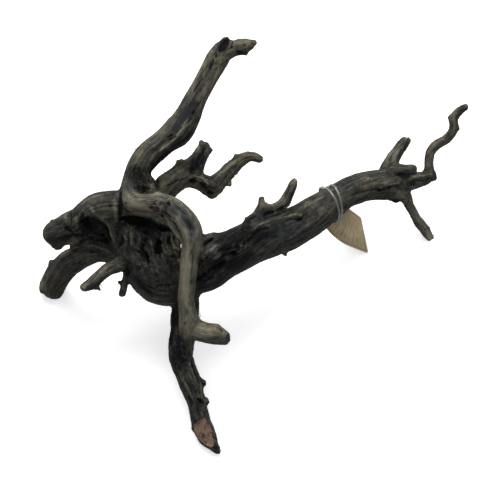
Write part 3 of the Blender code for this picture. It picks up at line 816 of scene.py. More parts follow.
        ((193, 175.5, 201, 178, 206, 182, 209, 188), 1.5, -1.3, 0.65, 0.4, 0.2),
        ((202, 177, 212, 179, 216, 184), 2.6, 0.6, -0.35),
        ((220, 174, 230, 167, 238, 159), 3.4, -0.3, 0.3),
        ((237.5, 158, 236.5, 166, 234, 172), 1.6, 1.2, -0.5, 0.8),
        ((236, 160, 238, 168), 4, 0, 0.4, 1.4, 1.2, 1, 0.6, RED),
        ((244, 155, 252, 154, 260, 158), 4, 0, 0.3),
    )),
    # The crook: tan wood, its rough knot, bluish bend, long pale streaks.
    (CROOK, (
        ((127, 192, 130, 202, 138, 206, 147, 206), 9, 0, 0.32, 1.5, 0.3),
        ((125, 203.5, 128, 203), 1.6, 1.2, -0.9, 0.7),
        ((130, 211.5, 140, 211, 148, 212.5), 1.3, 0.5, -0.35, 0.7),
        ((132, 199.5, 140, 199.5, 147, 198.5), 1.3, -0.6, 0.3, 0.7),
        ((152, 205, 157, 210, 162, 215), 8, 1, -0.85, 2.6, 1.6),
        ((149, 202, 155, 206, 162, 203), 9.5, 0, 1, 2.6, 0.3, 1, 0.6, RED),
        ((162, 201, 173, 208, 186, 217, 191, 228), 12, 0, -0.5, 2.2, 0.6),
        ((183, 232, 185, 255, 184, 282, 184, 312, 190, 330, 206, 334), 13, 0, 0.72, 2, 0.2, 1, 0.2),
        ((196, 232, 197.5, 250, 195, 270), 6, 0, 0.55, 1.4, 0.3),
        ((149, 199, 151.5, 201), 3, 0.4, 0.9, 0.9, 0.2, 1, 0.6, RED),
        ((157, 198, 161, 199.5), 3.2, 0.5, 0.9, 0.9, 0.2, 1, 0.6, RED),
        ((150, 207.5, 153, 209), 2.8, 0.4, 0.9, 0.9, 0.2, 1, 0.6, RED),
        ((162, 204, 164.5, 206), 2.8, 0.4, 0.8, 0.9, 0.2, 1, 0.6, RED),
        ((153.4, 203, 155.4, 205), 2.4, 1.2, -0.45, 0.9, 0.2),
        ((156.6, 209, 158.4, 211.4), 2.8, 1.2, -0.45, 0.9, 0.2),
        ((159.4, 203.4, 160.6, 205.4), 2, 1, -0.8, 0.9, 0.2),
        ((147, 203, 150, 205), 2.4, 0.6, -0.5, 0.9, 1),
        ((161, 215.4, 162.6, 218), 1.9, 2.4, -1.2, 0.5, 0.1),
        ((150, 196.5, 158, 194, 166, 197), 2.2, -0.6, 0.4, 0.8, 0.5),
        ((154, 201, 160, 200, 163, 204), 1.5, 0.9, -0.5, 0.9, 1),
        ((168, 201.5, 169.4, 205.4), 2.4, 2.4, -1.3, 0.8, 0.1),
        ((166, 199, 171, 200, 172, 205), 1.4, -0.9, 0.5, 0.6),
        ((164, 206, 167, 214, 173, 222), 4.4, 0.6, -0.6, 2, 1),
        ((168, 206, 181, 212, 191, 226, 193, 246), 9, 0, 1, 1.5, 0.3, 1, 0.6, COOL),
        ((174, 206, 184, 213, 189, 224, 191, 240), 5, 0.5, -0.15, 1.8),
        ((176, 203, 186, 209, 194, 219, 199, 232), 1.4, -0.6, 0.45, 0.8),
        ((181, 208, 190, 216, 196, 227, 198, 240), 1.2, -0.5, 0.35, 0.8),
        ((177, 217, 183, 224, 187, 234, 188, 248), 3.4, -0.5, 0.35, 1, 0.6),
        ((165, 216, 170, 224, 176, 234, 180, 241), 1.7, -0.8, 0.6, 0.5, 0.3),
        ((169, 216, 175, 225, 181, 236, 184, 246), 1.5, 1.2, -0.7, 0.6, 0.4),
        ((188, 248, 187, 270, 186, 290, 187, 306), 7.5, -0.2, 0.42, 1.4, 0.3),
        ((193.5, 240, 193, 262, 191.5, 284), 2.2, 0.3, -0.3, 1.2, 0.9),
        ((197.6, 252, 196.5, 275, 195, 300), 2, 0.2, -0.5, 0.6),
        ((186, 284, 187, 294), 3, 0.2, -0.2, 1.4, 1.4), ((192, 270, 191, 284), 2, 0.3, -0.25, 1.4, 1.4),
        ((188, 306, 196, 320, 210, 332), 7.5, -0.2, 0.42, 1.2, 0.3),
        ((198, 326, 206, 327.5, 215, 328), 1.4, 0.8, -0.4, 0.5),
        ((214, 326, 218, 326.5), 2.6, -1, 0.2, 0.5, 0.2),
        ((220.5, 329, 222, 333), 1.8, 1.8, -0.6, 0.5, 0.1),
        ((228.5, 334, 227, 342), 2.6, 0, -0.8, 0.5, 0.4),
    )),
    (("crook", "leg"), (
        ((184, 322, 187, 330), 4, 0.8, -0.7, 1.6, 1.2),
        ((184, 322, 187, 330), 5, 0, 0.7, 1.6, 1.2, 1, 0.6, RED),
    )),
    # Painted shade in the hollow below the crook, over a shallow groove, with a bluish tint.
    (("leg", "crook"), (
        ((180, 336, 179, 350, 183, 368), 12, 0.5, -0.95, 1.8, 0.5),
        ((180, 336, 180, 350, 185, 368), 11, 0, 1, 1.2, 0.7, 1, 0.6, COOL),
    )),
    # The leg: blue-black at its edges, painted shadow where it passes behind the crook, brown, stains on
    # its cut face.
    (("leg",), (
        ((176, 340, 181, 360, 190, 384, 197, 405, 202, 430), 15, 0, -0.34, 2.2, 0.4, 1, 0.1),
        ((167, 334, 168, 352, 175, 372, 184, 396, 191, 420), 6, 0, -0.45, 1.2, 0.3, 1, 0.2),
        # Painted shadow on the leg on each side of the crook.
        ((174, 306, 173, 322, 169, 344), 5.5, 0.3, -1.2, 0.9, 0.3, 1, 0.2),
        ((196, 305, 196.5, 318), 3, 0.3, -0.9, 0.5),
        ((168, 346, 171, 362, 178, 378, 184, 394), 2.4, 0, -0.5),
        ((182, 370, 187, 385, 191, 400), 6, -0.2, 0.28, 1.2, 0.9),
        ((189, 352, 192, 366, 197, 380, 200, 394), 1.5, 1.6, -0.8, 0.7, 0.3),
        ((193, 360, 198, 374, 201, 388), 2.2, -0.6, 0.4, 0.6),
        ((176, 354, 182, 370, 188, 386), 1.4, 0.7, -0.4, 0.8),
        ((188.5, 396, 191, 401, 192, 406), 2.8, 1.4, -1, 1.4, 0.4), ((194, 408, 198, 417), 4, 0, 0.25),
        ((190, 416, 194, 430, 201, 442), 3, 0, -0.4, 0.8),
        ((199, 420, 202, 427, 205.5, 431), 2.2, 0, -0.75, 1.6, 0.4, 1, 0.6, CUT),
        ((197, 432, 201, 434, 206, 436.5), 1.9, 0, -0.7, 1.6, 0.4, 1, 0.6, CUT),
        ((207, 424, 208.4, 431), 1.8, 0, -0.6, 1.2, 0.4, 1, 0.6, CUT),
        ((192.5, 424, 192.5, 431, 197, 438.5), 2.8, 0, -0.6, 1.2, 0.4, 1, 0.6, CUT),
        ((212, 444, 216, 449, 219, 454), 5, 0, -0.8, 0.7),
    )),
    (LEG, (
        ((198.5, 399, 201.5, 401, 203, 404), 2.8, 2.4, -1.3, 0.8, 0.1),
        ((201.5, 380, 204, 385), 1.2, 0.8, -0.6, 0.4),
        ((193, 386, 198, 398, 200, 410), 7.5, 0, -0.3, 1.4, 0.4),
    )),
    # Twigs.
    (("down_twig",), (
        ((400, 199, 408, 213, 418, 228), 2.2, 0, -0.4),
        ((404, 193, 411, 208, 421, 224, 430, 238), 7, 0, 0.42, 1.2, 0.3, 1, 0.1),
    )),
    (("wavy_twig",), (
        ((431, 172, 430, 158, 434, 147, 447, 139), 6, 0, 0.4, 1.2, 0.3, 1, 0.2),
        ((453, 125, 453, 118, 464, 108), 6, 0, -0.3, 1.2, 0.3, 1, 0.2),
        ((431, 168, 431, 156, 435, 149, 446, 142), 1.4, 0.3, -0.35),
    )),
    (("top_twig", "top_sprig"), (
        ((262, 202, 276, 207, 288, 199, 294, 183), 6.5, 0, 0.55, 1.2, 0.3, 1, 0.1),
    )),
    (("right_prong",), (
        ((393.5, 166, 395, 158, 399, 149), 1.8, -0.6, 0.4),
        ((390, 166, 391, 157, 396, 149), 1.4, 0.9, -0.5), ((404, 149, 408, 143), 2, 0.6, -0.6),
        ((386, 168, 388, 161), 2, -0.3, 0.3),
        ((396, 156, 402, 146, 407, 141), 6, 0, 0.3, 1.2, 0.3, 1, 0.1),
    )),
    (("down_twig", "trunk"), (((398, 192, 405, 202), 7, 0, 0.7, 1.2, 0.3),)),
    (("top_sprig", "top_twig"), (((261, 200, 261, 207), 4, 0, 0.3, 1.2, 0.3),)),
    (("spur_twig", "body"), (((127, 268, 127, 276), 4, 0.4, -0.8),)),
)

CARVINGS = tuple(Carving(limbs, *row) for limbs, rows in CARVING_GROUPS for row in rows)


@dataclass(frozen=True)
class Facet:
    """A flat place that is cut or worn across a limb, or an outline that is only painted.

    Attributes:
        limbs: the names of the limbs that it may touch.
        corners: its outline on the board, right and down of each corner in turn, convex and clockwise.
        shade: how much it adds to the channel; below zero in the tone channel it is painted shade.
        channel: what it colours.
        middle: its middle where the wood beyond it is cut away, in right, down and out.
        facing: the way it faces, in right, down and out.
    """

    limbs: tuple[str, ...]
    corners: tuple[float, ...]
    shade: float
    channel: Channel = TONE
    middle: Triple | None = None
    facing: Triple = (0.0, 0.0, 1.0)


FACETS = (
    Facet(("leg",), (
        192.5, 425, 198.5, 420, 204, 416.5, 208.5, 418.5, 212.5, 432,
        215, 440, 212.5, 447.5, 205, 444.5, 197, 437.5, 191.5, 430,
    ), 1, CUT, (205.5, 433, 32), (-0.22, -0.06, 1)),
    Facet(("down_twig",), (
        425, 231, 428, 227, 433, 232,
        434, 241, 430, 241,
    ), 0.9, TONE, (428.5, 235, -116.4), (0.5, 0.1, 1)),
    Facet(("upper_limb",), (
        190, 101.5, 201.5, 101.5, 199.5, 107, 189, 118, 181, 127.5,
        175.5, 132, 171, 132, 171.5, 126.5, 179, 115,
    ), 1, SCAR),
    # Painted shade over the hollow at the upper limb's tip.
    Facet(("upper_limb", "upper_stub"), (
        221.5, 38.6, 227, 37.2, 230, 39.6, 228.6, 45,
        223.6, 50.6, 218.6, 52.6, 216.8, 49.6, 218.4, 43,
    ), -0.9),
    # Painted shade: the hollow below the knob limb, painted black.
    Facet(("knob_limb", "hollow_wall", "nose", "body", "stump"), (
        84.5, 218.5, 92, 217.5, 99.5, 221.5, 106, 229, 110, 238,
        112.5, 246, 101, 242.5, 82.5, 237, 81, 228,
    ), -1.5),
)

# Small swellings on the limbs, each in rows of right, down, out and radius.
NUBS = (
    ((246.5, 222, -26, 3.6), (246.6, 218.4, -25.5, 1.9)), ((283, 249, -44, 4), (285.2, 254, -44, 2.6)),
    ((181, 262, 28, 4), (178.6, 260, 33, 2.2)), ((236.5, 162, -48.5, 4), (235.6, 155.4, -48, 2.4)),
    ((206, 152, -45, 4.4), (211, 150.2, -45, 2.6)), ((203, 149, -45, 4.2), (201.5, 142.6, -45.5, 2.4)),
    ((204, 150, -45, 4), (207, 143.6, -45.5, 2.2)), ((433, 176, -112, 3.2), (435, 172.2, -111.5, 2.2)),
    ((433, 178, -112, 3.2), (436.2, 179.6, -111.5, 2)), ((250, 156, -51, 3.4), (248, 152.4, -50, 2.2)),
    ((224, 177.5, -46, 5), (229.2, 183.6, -46, 2.4)), ((122, 283, -9, 3), (118.7, 282.2, -9, 1.9)),
    ((95, 286, 9, 4.4), (99.4, 289.4, 8, 2.4)), ((392, 197, -100, 4.6), (396, 201.3, -101, 3)),
    ((247, 46, -3, 4.6), (246, 53.4, -4, 2.8)), ((251, 45, -3, 3.6), (252.4, 48.4, -3, 2.4)),
    ((454, 129, -98, 4.6), (456.8, 128.6, -98, 3.4)), ((453.6, 118, -99, 4.4), (451.4, 118, -99, 3.6)),
    ((264, 210, -30, 3.8), (266.6, 204.6, -30, 2.3)), ((213, 329, 23, 5.5), (216.2, 327.6, 24, 4.4)),
    ((56, 225, -12, 5.4), (52.6, 221.8, -12, 2.6)), ((212, 190, -43, 7), (212, 194.2, -43, 4.8)),
    ((405, 143, -103, 5), (407.6, 140.4, -103, 3.8)), ((202, 380, 12, 4.6), (202.6, 383, 12, 3.2)),
    ((74, 242, -38, 4.6), (72.4, 240, -33, 3.2)), ((78, 244, -39, 4), (78.6, 241, -34, 2.6)),
    ((66, 219, -6, 6), (66, 218.6, 1, 3.6)), ((76, 219, -4, 6), (76, 219, 4, 3.6)),
    ((57, 264, -64, 6), (51.6, 263.4, -64, 4)), ((160, 201, 32, 9), (158.5, 196.4, 33, 5)),
    ((196.5, 427, 22, 3.8), (192.2, 428.4, 25, 1.5)),
)


@dataclass(frozen=True)
class WoodFinish:
    """The weathered wood's colours, in linear light, and its surface.

    Attributes:
        black: painted deep shade, in the deepest furrows and hollows.
        dark: low and shaded wood.
        middle: most of the wood.
        pale: worn ridges and painted highlights.
        palest: the palest worn ridges.
        scar: the smooth blue-black scar.
        cut: the freshly cut face.
        cut_dark: stains on the cut face.
        red: reddish bark where it is low.
        red_pale: reddish bark where it is worn.
        warm: what browner places are multiplied by.
        cold: what bluer places are multiplied by.
        roughness: how matt the wood is.
        scar_roughness: how matt the scar is.
        bump: how strong the finest relief is.
    """

    black: Triple = (0.002, 0.002, 0.002)
    dark: Triple = (0.017, 0.018, 0.018)
    middle: Triple = (0.056, 0.056, 0.050)
    pale: Triple = (0.190, 0.180, 0.140)
    palest: Triple = (0.310, 0.290, 0.225)
    warm: Triple = (1.10, 1.0, 0.76)
    cold: Triple = (0.86, 0.93, 1.12)
    scar: Triple = (0.021, 0.022, 0.026)
    cut: Triple = (0.235, 0.150, 0.112)
    cut_dark: Triple = (0.110, 0.060, 0.045)
    red: Triple = (0.072, 0.051, 0.042)
    red_pale: Triple = (0.225, 0.168, 0.135)
    roughness: float = 0.82
    scar_roughness: float = 0.5
    bump: float = 0.55


@dataclass(frozen=True)
class CardFinish:
    """The kraft card's colours, in linear light.

    Attributes:
        base: the card.
        flecks_and_branch_shadow: its darker fibres, and the painted shadow of the branch on its right
            part.
        lines: the ruled lines.
        edge: its paler cut edge, also painted over its tip as painted light.
        roughness: how matt it is.
    """

    base: Triple = (0.58, 0.475, 0.295)
    flecks_and_branch_shadow: Triple = (0.40, 0.32, 0.20)
    lines: Triple = (0.22, 0.17, 0.11)
    edge: Triple = (0.72, 0.62, 0.44)
    roughness: float = 0.9


@dataclass(frozen=True)
class BandFinish:
    """The clear elastic band's colour, in linear light, and its gloss.

    Attributes:
        base: the rubber.
        cloudy: what its darker clouds are multiplied by.
        roughness: how matt it is.
        alpha: how much of what lies behind it hides.
        coat: how strong its gloss is.
    """

    base: Triple = (0.21, 0.215, 0.21)
    cloudy: float = 0.72
    roughness: float = 0.38
    alpha: float = 0.66
    coat: float = 0.2


# Materials


class Signal:
    """A socket's value, on which ordinary arithmetic adds Math nodes."""

    def __init__(self, sheet: "NodeSheet", socket: Socket) -> None:
        """Wraps an output of one of the sheet's nodes."""
        self.sheet = sheet
        self.socket = socket

    def _math(self, operation: str, *terms: object) -> "Signal":
        """Adds a Math node with these terms."""
        made = self.sheet.node("ShaderNodeMath", {"operation": operation}, *terms)
        return Signal(self.sheet, made.outputs[0])

    def __add__(self, other: object) -> "Signal":
        """Adds."""
        return self._math("ADD", self, other)

    __radd__ = __add__

    def __sub__(self, other: object) -> "Signal":
        """Subtracts."""
        return self._math("SUBTRACT", self, other)

    def __rsub__(self, other: object) -> "Signal":
        """Is subtracted."""
        return self._math("SUBTRACT", other, self)

    def __mul__(self, other: object) -> "Signal":
        """Multiplies."""
        return self._math("MULTIPLY", self, other)

    __rmul__ = __mul__

    def size(self) -> "Signal":
        """Drops the sign."""
        return self._math("ABSOLUTE", self)

    def clamped(self) -> "Signal":
        """Keeps the value between 0 and 1."""
        return self._math("MINIMUM", self._math("MAXIMUM", self, 0.0), 1.0)

    def ramp(self, low: float, high: float) -> "Signal":
        """Rises smoothly from 0 at low to 1 at high."""
        smooth = {"interpolation_type": "SMOOTHSTEP"}
        made = self.sheet.node("ShaderNodeMapRange", smooth, self, low, high)
        return Signal(self.sheet, made.outputs[0])


class NodeSheet:
    """The nodes of one material, or of the air round the stage, with its shader."""

    def __init__(self, name: str, air: bool = False) -> None:
        """Starts a material or the air.

        Args:
            name: its name.
            air: whether it is the air.
        """
        self.owner = (bpy.data.worlds if air else bpy.data.materials).new(name)
        self.owner.use_nodes = True
        self.tree = self.owner.node_tree
        self.shader = self.tree.nodes["Background" if air else "Principled BSDF"]

    def node(
        self, kind: str, settings: dict[str, object], *values: object, **named: object
    ) -> bpy.types.Node:
        """Adds a node, sets it up and fills its sockets.

        Args:
            kind: the node's type.
            settings: its own properties, set before its sockets are filled.
            values: links or values for its first sockets, None to leave one as it is.
            named: links or values for sockets by name, with _ for a space.

        Returns:
            The node.
        """
        made = self.tree.nodes.new(kind)
        for key, value in settings.items():
            if key == "stops":
                self._fill_ramp(made.color_ramp, value)
            else:
                setattr(made, key, value)
        for index, value in enumerate(values):
            if value is not None:
                self._fill(made.inputs[index], value)
        for key, value in named.items():
            self._fill(made.inputs[key.replace("_", " ")], value)
        return made

    def _fill(self, socket: Socket, value: object) -> None:
        """Links a signal or an output to a socket, or sets its value.

        Args:
            socket: the input to fill.
            value: a signal, an output, a number or a colour.
        """
        if isinstance(value, Signal):
            value = value.socket
        if isinstance(value, Socket):
            self.tree.links.new(value, socket)
        elif socket.type == "RGBA" and len(value) == 3:
            socket.default_value = (*value, 1.0)
        else:
            socket.default_value = value

    def _fill_ramp(self, ramp: bpy.types.ColorRamp, stops: tuple) -> None:
        """Sets a ramp's stops.

        Args:
            ramp: the ramp.
            stops: each stop's place and colour.
        """
        while len(ramp.elements) < len(stops):
            ramp.elements.new(1.0)
        for element, (place, colour) in zip(ramp.elements, stops):
            element.position = place
            element.color = (*colour, 1.0)

    def attribute(self, name: str) -> bpy.types.Node:
        """Reads a vertex attribute."""
        return self.node("ShaderNodeAttribute", {"attribute_name": name})

    def number(self, name: str) -> Signal:
        """Reads a vertex attribute that is one number."""
        return Signal(self, self.attribute(name).outputs["Fac"])

    def places(self, kind: str = "Object") -> Socket:
        """Reads where the shaded point lies."""
        return self.node("ShaderNodeTexCoord", {}).outputs[kind]

    def stretched(
        self, vector: Socket, scale: Triple
    ) -> Socket:
        """Scales a vector along each of its axes."""
        made = self.node("ShaderNodeVectorMath", {"operation": "MULTIPLY"}, vector, scale)
        return made.outputs[0]

    def noise(
        self, vector: Socket, scale: float, detail: float, rough: float = 0.55, warp: float = 0.0
    ) -> Signal:
        """Adds a noise texture, about 0.5, with finer layers and a warp."""
        sizes = {"Scale": scale, "Detail": detail, "Roughness": rough, "Distortion": warp}
        return Signal(self, self.node("ShaderNodeTexNoise", {}, Vector=vector, **sizes).outputs[0])

    def grain(
        self, vector: Socket, scale: Triple, *how: float
    ) -> Signal:
        """Adds a noise texture that is scaled along the grain and across it."""
        return self.noise(self.stretched(vector, scale), 1.0, *how)

    def mix(
        self, factor: object, first: object, second: object, how: str = "MIX"
    ) -> Socket:
        """Mixes two colours.

        Args:
            factor: how much of the second there is.
            first: a colour or an output.
            second: a colour or an output.
            how: the blend mode.

        Returns:
            The mixed colour.
        """
        made = self.node("ShaderNodeMix", {"data_type": "RGBA", "blend_type": how})
        self._fill(made.inputs["Factor"], factor)
        self._fill(made.inputs[6], first)
        self._fill(made.inputs[7], second)
        return made.outputs[2]

    def blend(self, factor: Signal, first: Signal, second: Signal) -> Signal:
        """Goes from one value to the other."""
        return first + (second - first) * factor

    def surface(self, **sockets: object) -> None:
        """Fills the shader's sockets, by name, with _ for a space."""
        for key, value in sockets.items():
            self._fill(self.shader.inputs[key.replace("_", " ")], value)

    def bumped(self, height: Signal, strength: float, distance: float) -> None:
        """Feeds a height to the shader's normal, at which 1 is the distance in metres."""
        made = self.node("ShaderNodeBump", {}, Strength=strength, Distance=distance, Height=height)
        self.surface(Normal=made.outputs[0])

    def paint(self, target: Thing) -> None:
        """Gives an object this material alone."""
        target.data.materials.clear()
        target.data.materials.append(self.owner)


def dress_wood(target: Thing, finish: WoodFinish) -> None:
    """Gives the wood its grain, colours and gloss.

    Args:
        target: the wood, with its vertex attributes.
        finish: its colours.
    """
    sheet = NodeSheet("driftwood_wood")
    share = sheet.number("grain_share")
    readings = []
    for name in ("grain_first", "grain_second"):
        along = sheet.attribute(name).outputs["Vector"]
        fine = sheet.grain(along, (0.07, 1.2, 1.2), 3.0, 0.65)
        streaks = sheet.grain(along, (0.04, 0.55, 0.55), 3.0, 0.6, 0.3)
        broad = sheet.grain(along, (0.016, 0.15, 0.15), 3.0, 0.6)
        cracks = sheet.grain(along, (0.03, 0.33, 0.33), 2.0, 0.5, 0.5)
        readings.append((fine, streaks, broad, cracks))
    fine, streaks, broad, cracks = (sheet.blend(share, a, b) for a, b in zip(*readings))
    places = sheet.places()
    mottle = sheet.noise(places, 55.0, 4.0, 0.6)
    patches = sheet.noise(places, 150.0, 4.0, 0.65)
    specks = sheet.noise(places, 900.0, 2.0, 0.6)
    scar = sheet.number("scar")
    cut = sheet.number("cut")
    smooth = (scar + cut).clamped()
    crack = (cracks - 0.5).size().ramp(0.035, 0.0)
    # The tone attribute brings the wood's tone together with its painted light and shade.
    streaked = sheet.number("streak") * 0.6 + 0.25
    tone = sheet.number("tone") * 0.5 + (fine - 0.5) * 0.75 + (streaks - 0.5) * streaked
    tone = tone + (broad - 0.5) * streaked + (mottle - 0.5) * 0.65
    tone = tone + (patches - 0.5) * 0.55 + (specks - 0.5) * 0.4
    tone = ((tone - crack * 0.12 + 0.47) * 0.8).clamped()
    shades = (finish.black, finish.dark, finish.middle, finish.pale, finish.palest)
    stops = tuple(zip((0.0, 0.224, 0.44, 0.76, 1.0), shades))
    colour = sheet.node("ShaderNodeValToRGB", {"stops": stops}, tone).outputs[0]
    cool = sheet.number("cool")
    tint = ((broad - 0.5) * 1.5 + (mottle - 0.5) * 2.5 + 0.5 - cool).clamped()
    colour = sheet.mix(tint * 0.6, colour, sheet.mix(1.0, colour, finish.warm, "MULTIPLY"))
    colour = sheet.mix(cool * 0.8, colour, sheet.mix(1.0, colour, finish.cold, "MULTIPLY"))
    reddish = (sheet.number("red") * patches.ramp(0.38, 0.6)).clamped() * 0.8
    colour = sheet.mix(reddish, colour, sheet.mix(tone.ramp(0.18, 0.68), finish.red, finish.red_pale))
    dots = (specks + fine * 0.4 - 0.2).ramp(0.42, 0.62)
    scarred = sheet.mix(dots * 0.7, finish.scar, finish.dark)
    colour = sheet.mix((scar + (patches - 0.5) * 0.5).ramp(0.4, 0.62) * 0.92, colour, scarred)
    stains = (patches * 1.2 + fine * 0.6 - 0.4).ramp(0.40, 0.52)
    colour = sheet.mix(cut.ramp(0.3, 0.62), colour, sheet.mix(stains, finish.cut_dark, finish.cut))
    height = (fine * 0.5 + streaks * 0.7 + specks * 0.12 - crack * 0.3) * (1.0 - smooth * 0.7)
    rough = finish.roughness + (fine - 0.5) * 0.25
    rough = rough + (finish.scar_roughness - finish.roughness) * scar
    sheet.surface(Base_Color=colour, Roughness=rough.clamped(), Specular_IOR_Level=0.15)
    sheet.bumped(height, finish.bump, 1.1 * MM)
    sheet.paint(target)


# How far a limb's middle line is read apart, how many vertices are read at once, how far a thick
# place of a limb pulls vertices to itself, and how far the grains of two limbs lie apart.
READING_STEP = 2.0
READ_AT_ONCE = 20000
THICK_PULL = 0.3
GRAIN_APART = 300.0

# A carving's edge: how far the board's noise and the grain's noise move it, how the fibres break it
# up, and the least share of a limb that it colours.
WANDER = 0.6
FRAY = 1.3
BREAK_GAIN, BREAK_SHIFT, BREAK_MOST = 1.6, -0.25, 1.3
LEAST_SHARE = 0.02


@dataclass
class Driftwood:
    """The grown wood: a body, a main branch, a leg, a crook and its smaller limbs.

    Attributes:
        finish: its colours.
        grain: how fine its skin is.
        path_step: how far a limb's rings lie apart.
        roundness: the bevel resolution of a limb.
        soft_rounds: how often its forks are softened.
        flute: how high the broad flutes stand.
        ridge: how high the fibre ridges stand.
        fibre: how high the finest ridges stand.
        lump: how high the lumps stand.
        knit: how wide two limbs flow into each other.
        thin: the radius below which relief and lumps grow weaker.
        band_reach: how far round the band's place the wood is kept plain.
        slit: the gap through the wood, in rows of right, down, out and radius.
    """

    finish: WoodFinish = WoodFinish()
    grain: float = 1.5
    path_step: float = 4.0
    roundness: int = 7
    soft_rounds: int = 2
    flute: float = 1.5
    ridge: float = 1.1
    fibre: float = 0.45
    lump: float = 0.75
    knit: float = 3.0
    thin: tuple[float, float] = (10.0, 12.0)
    band_reach: float = 16.0
    slit: tuple = (
        (187.6, 245.5, 27, 8), (188, 245.5, -10, 8.6), (188, 245.5, -35, 12), (188, 245, -75, 20),
    )

    def build(self) -> Thing:
        """Models and dresses the wood.

        Returns:
            The finished piece.
        """
        wood = self._model_limbs()
        self._fuse(wood)
        self._carve(wood)
        self._stand_on_floor(wood)
        dress_wood(wood, self.finish)
        return wood

    def _model_limbs(self) -> Thing:
        """Models each limb and nub as a tapering tube and joins them.

        Returns:
            One object with all the tubes.
        """
        tubes = []
        for limb in LIMBS:
            path = LimbPath(limb, self.path_step)
            points, radii = path.points, path.radii
            if limb.end is LimbEnd.ROUND:
                points, radii = self._domed(points, radii, path.tangents()[-1])
            tubes.append(tube(limb.name, points, radii, self.roundness))
        for number, stations in enumerate(NUBS):
            path = LimbPath(Limb(f"nub_{number}", stations), self.path_step / 2)
            points, radii = self._domed(path.points, path.radii, path.tangents()[-1])
            tubes.append(tube(f"nub_{number}", points, radii, self.roundness - 3))
        return joined("driftwood_skin", tubes)

    def _domed(
        self, points: Array, radii: Array, tangent: Array
    ) -> tuple[Array, Array]:
        """Adds a round end.

        Args:
            points: the middle line.
            radii: its radii.
            tangent: the way it runs at its end.

        Returns:
            The longer line and its radii.
        """
        turns = np.linspace(0.0, math.pi / 2, 6)[1:-1]
        extra = points[-1] + np.outer(np.sin(turns) * radii[-1], tangent)
        return np.vstack((points, extra)), np.append(radii, radii[-1] * np.cos(turns))

    def _fuse(self, wood: Thing) -> None:
        """Makes the tubes one skin, opens the slit through it and softens its forks.

        Args:
            wood: the joined tubes.
        """
        apply_modifier(wood, "REMESH", mode="VOXEL", voxel_size=self.grain * MM)
        path = LimbPath(Limb("slit", self.slit), self.path_step)
        cut_out(wood, tube("slit_cutter", path.points, path.radii, self.roundness))
        apply_modifier(wood, "REMESH", mode="VOXEL", voxel_size=self.grain * MM)
        apply_modifier(wood, "SMOOTH", factor=0.5, iterations=self.soft_rounds)

    def _read_limbs(self, points: Array) -> tuple[Array, Array]:
        """Finds how far each vertex lies from each limb's skin, and its place in that limb's grain.

        Args:
            points: the vertices.

        Returns:
            Distances, one row for each limb, and grain places, one row of vectors for each limb.
        """
        gaps = np.empty((len(LIMBS), len(points)))
        places = np.empty((len(LIMBS), len(points), 3))
        for number, limb in enumerate(LIMBS):
            path = LimbPath(limb, READING_STEP)
            tangents, sides, lengths = path.tangents(), path.sides(), spacings(path.points)
            nearest = np.empty(len(points), int)
            for start in range(0, len(points), READ_AT_ONCE):
                part = slice(start, start + READ_AT_ONCE)
                apart = np.linalg.norm(points[part, None] - path.points[None], axis=2)
                nearest[part] = np.argmin(apart - path.radii * THICK_PULL, axis=1)
            offsets = points - path.points[nearest]
            along = dots(offsets, tangents[nearest])
            across = offsets - along[:, None] * tangents[nearest]
            side = sides[nearest]
            gaps[number] = np.linalg.norm(offsets, axis=1) - path.radii[nearest]
            length = lengths[nearest] + along
            first = dots(across, side)
            second = dots(across, np.cross(tangents[nearest], side))
            turn = limb.twist * length
            places[number, :, 0] = length + GRAIN_APART * number
            places[number, :, 1] = first * np.cos(turn) - second * np.sin(turn)
            places[number, :, 2] = first * np.sin(turn) + second * np.cos(turn)
        return gaps, places

    def _relief(self, places: Array) -> Array:
        """Works out the flutes, ridges and cracks of the grain.

        Args:
            places: grain places.

        Returns:
            Heights.
        """
        broad = grain_noise(3, places, 60, 12)
        middle = grain_noise(5, places, 30, 4.4)
        fine = grain_noise(7, places, 20, 2.8)
        crack = grain_noise(9, places, 26, 4.6)
        crack = rounded_step(np.abs(crack), 0.07, 0.0) * rounded_step(broad, -0.1, 0.25)
        height = self.flute * broad + self.ridge * (NOISE_MIDDLE - np.abs(middle)) * 1.8
        return height + self.fibre * (NOISE_MIDDLE - np.abs(fine)) * 2.0 - crack

    def _carve(self, wood: Thing) -> None:
        """Moves the skin into grain, grooves, pits and knots, and stores what the material reads.

        Args:
            wood: the fused wood.
        """
        points = vertex_array(wood) / MM
        normals = vertex_array(wood, "normal")
        gaps, places = self._read_limbs(points)
        weights = np.exp(-(gaps - gaps.min(axis=0)) / self.knit)
        weights /= weights.sum(axis=0)
        first, second = np.sort(np.argsort(gaps, axis=0)[:2], axis=0)
        every = np.arange(len(points))
        pair = np.stack((weights[first, every], weights[second, every]))
        share = pair[1] / pair.sum(axis=0)
        relief = np.array([limb.relief for limb in LIMBS]) @ weights
        height = self._relief(places[first, every]) * (1.0 - share)
        height += self._relief(places[second, every]) * share
        radii = np.array([max(row[3] for row in limb.stations) for limb in LIMBS]) @ weights
        height *= relief * np.clip(radii / self.thin[0], 0.4, 1.0)
        lumps = self.lump * LatticeNoise(31).at(points / 20.0)
        lumps += 0.5 * self.lump * LatticeNoise(32).at(points / 8.0)
        height += lumps * relief * np.clip(radii / self.thin[1], 0.4, 1.0)
        tone = np.array([limb.tone for limb in LIMBS]) @ weights
        board = BOARD.to_board(points)
        squareness = dots(normals, unit(BOARD.eye() - points))
        facing = rounded_step(squareness, -0.15, 0.25)
        layers = {channel: np.zeros(len(points)) for channel in Channel}
        depth = np.zeros(len(points))
        grain = places[first, every] * (1.0 - share)[:, None] + places[second, every] * share[:, None]
        fray = [grain_noise(seed, grain, 14, 2.6) for seed in (11, 12)]
        wander = [LatticeNoise(seed).at(board / 6.0) for seed in (13, 14)]
        names = [limb.name for limb in LIMBS]
        for carving in CARVINGS:
            rows = [names.index(name) for name in carving.limbs]
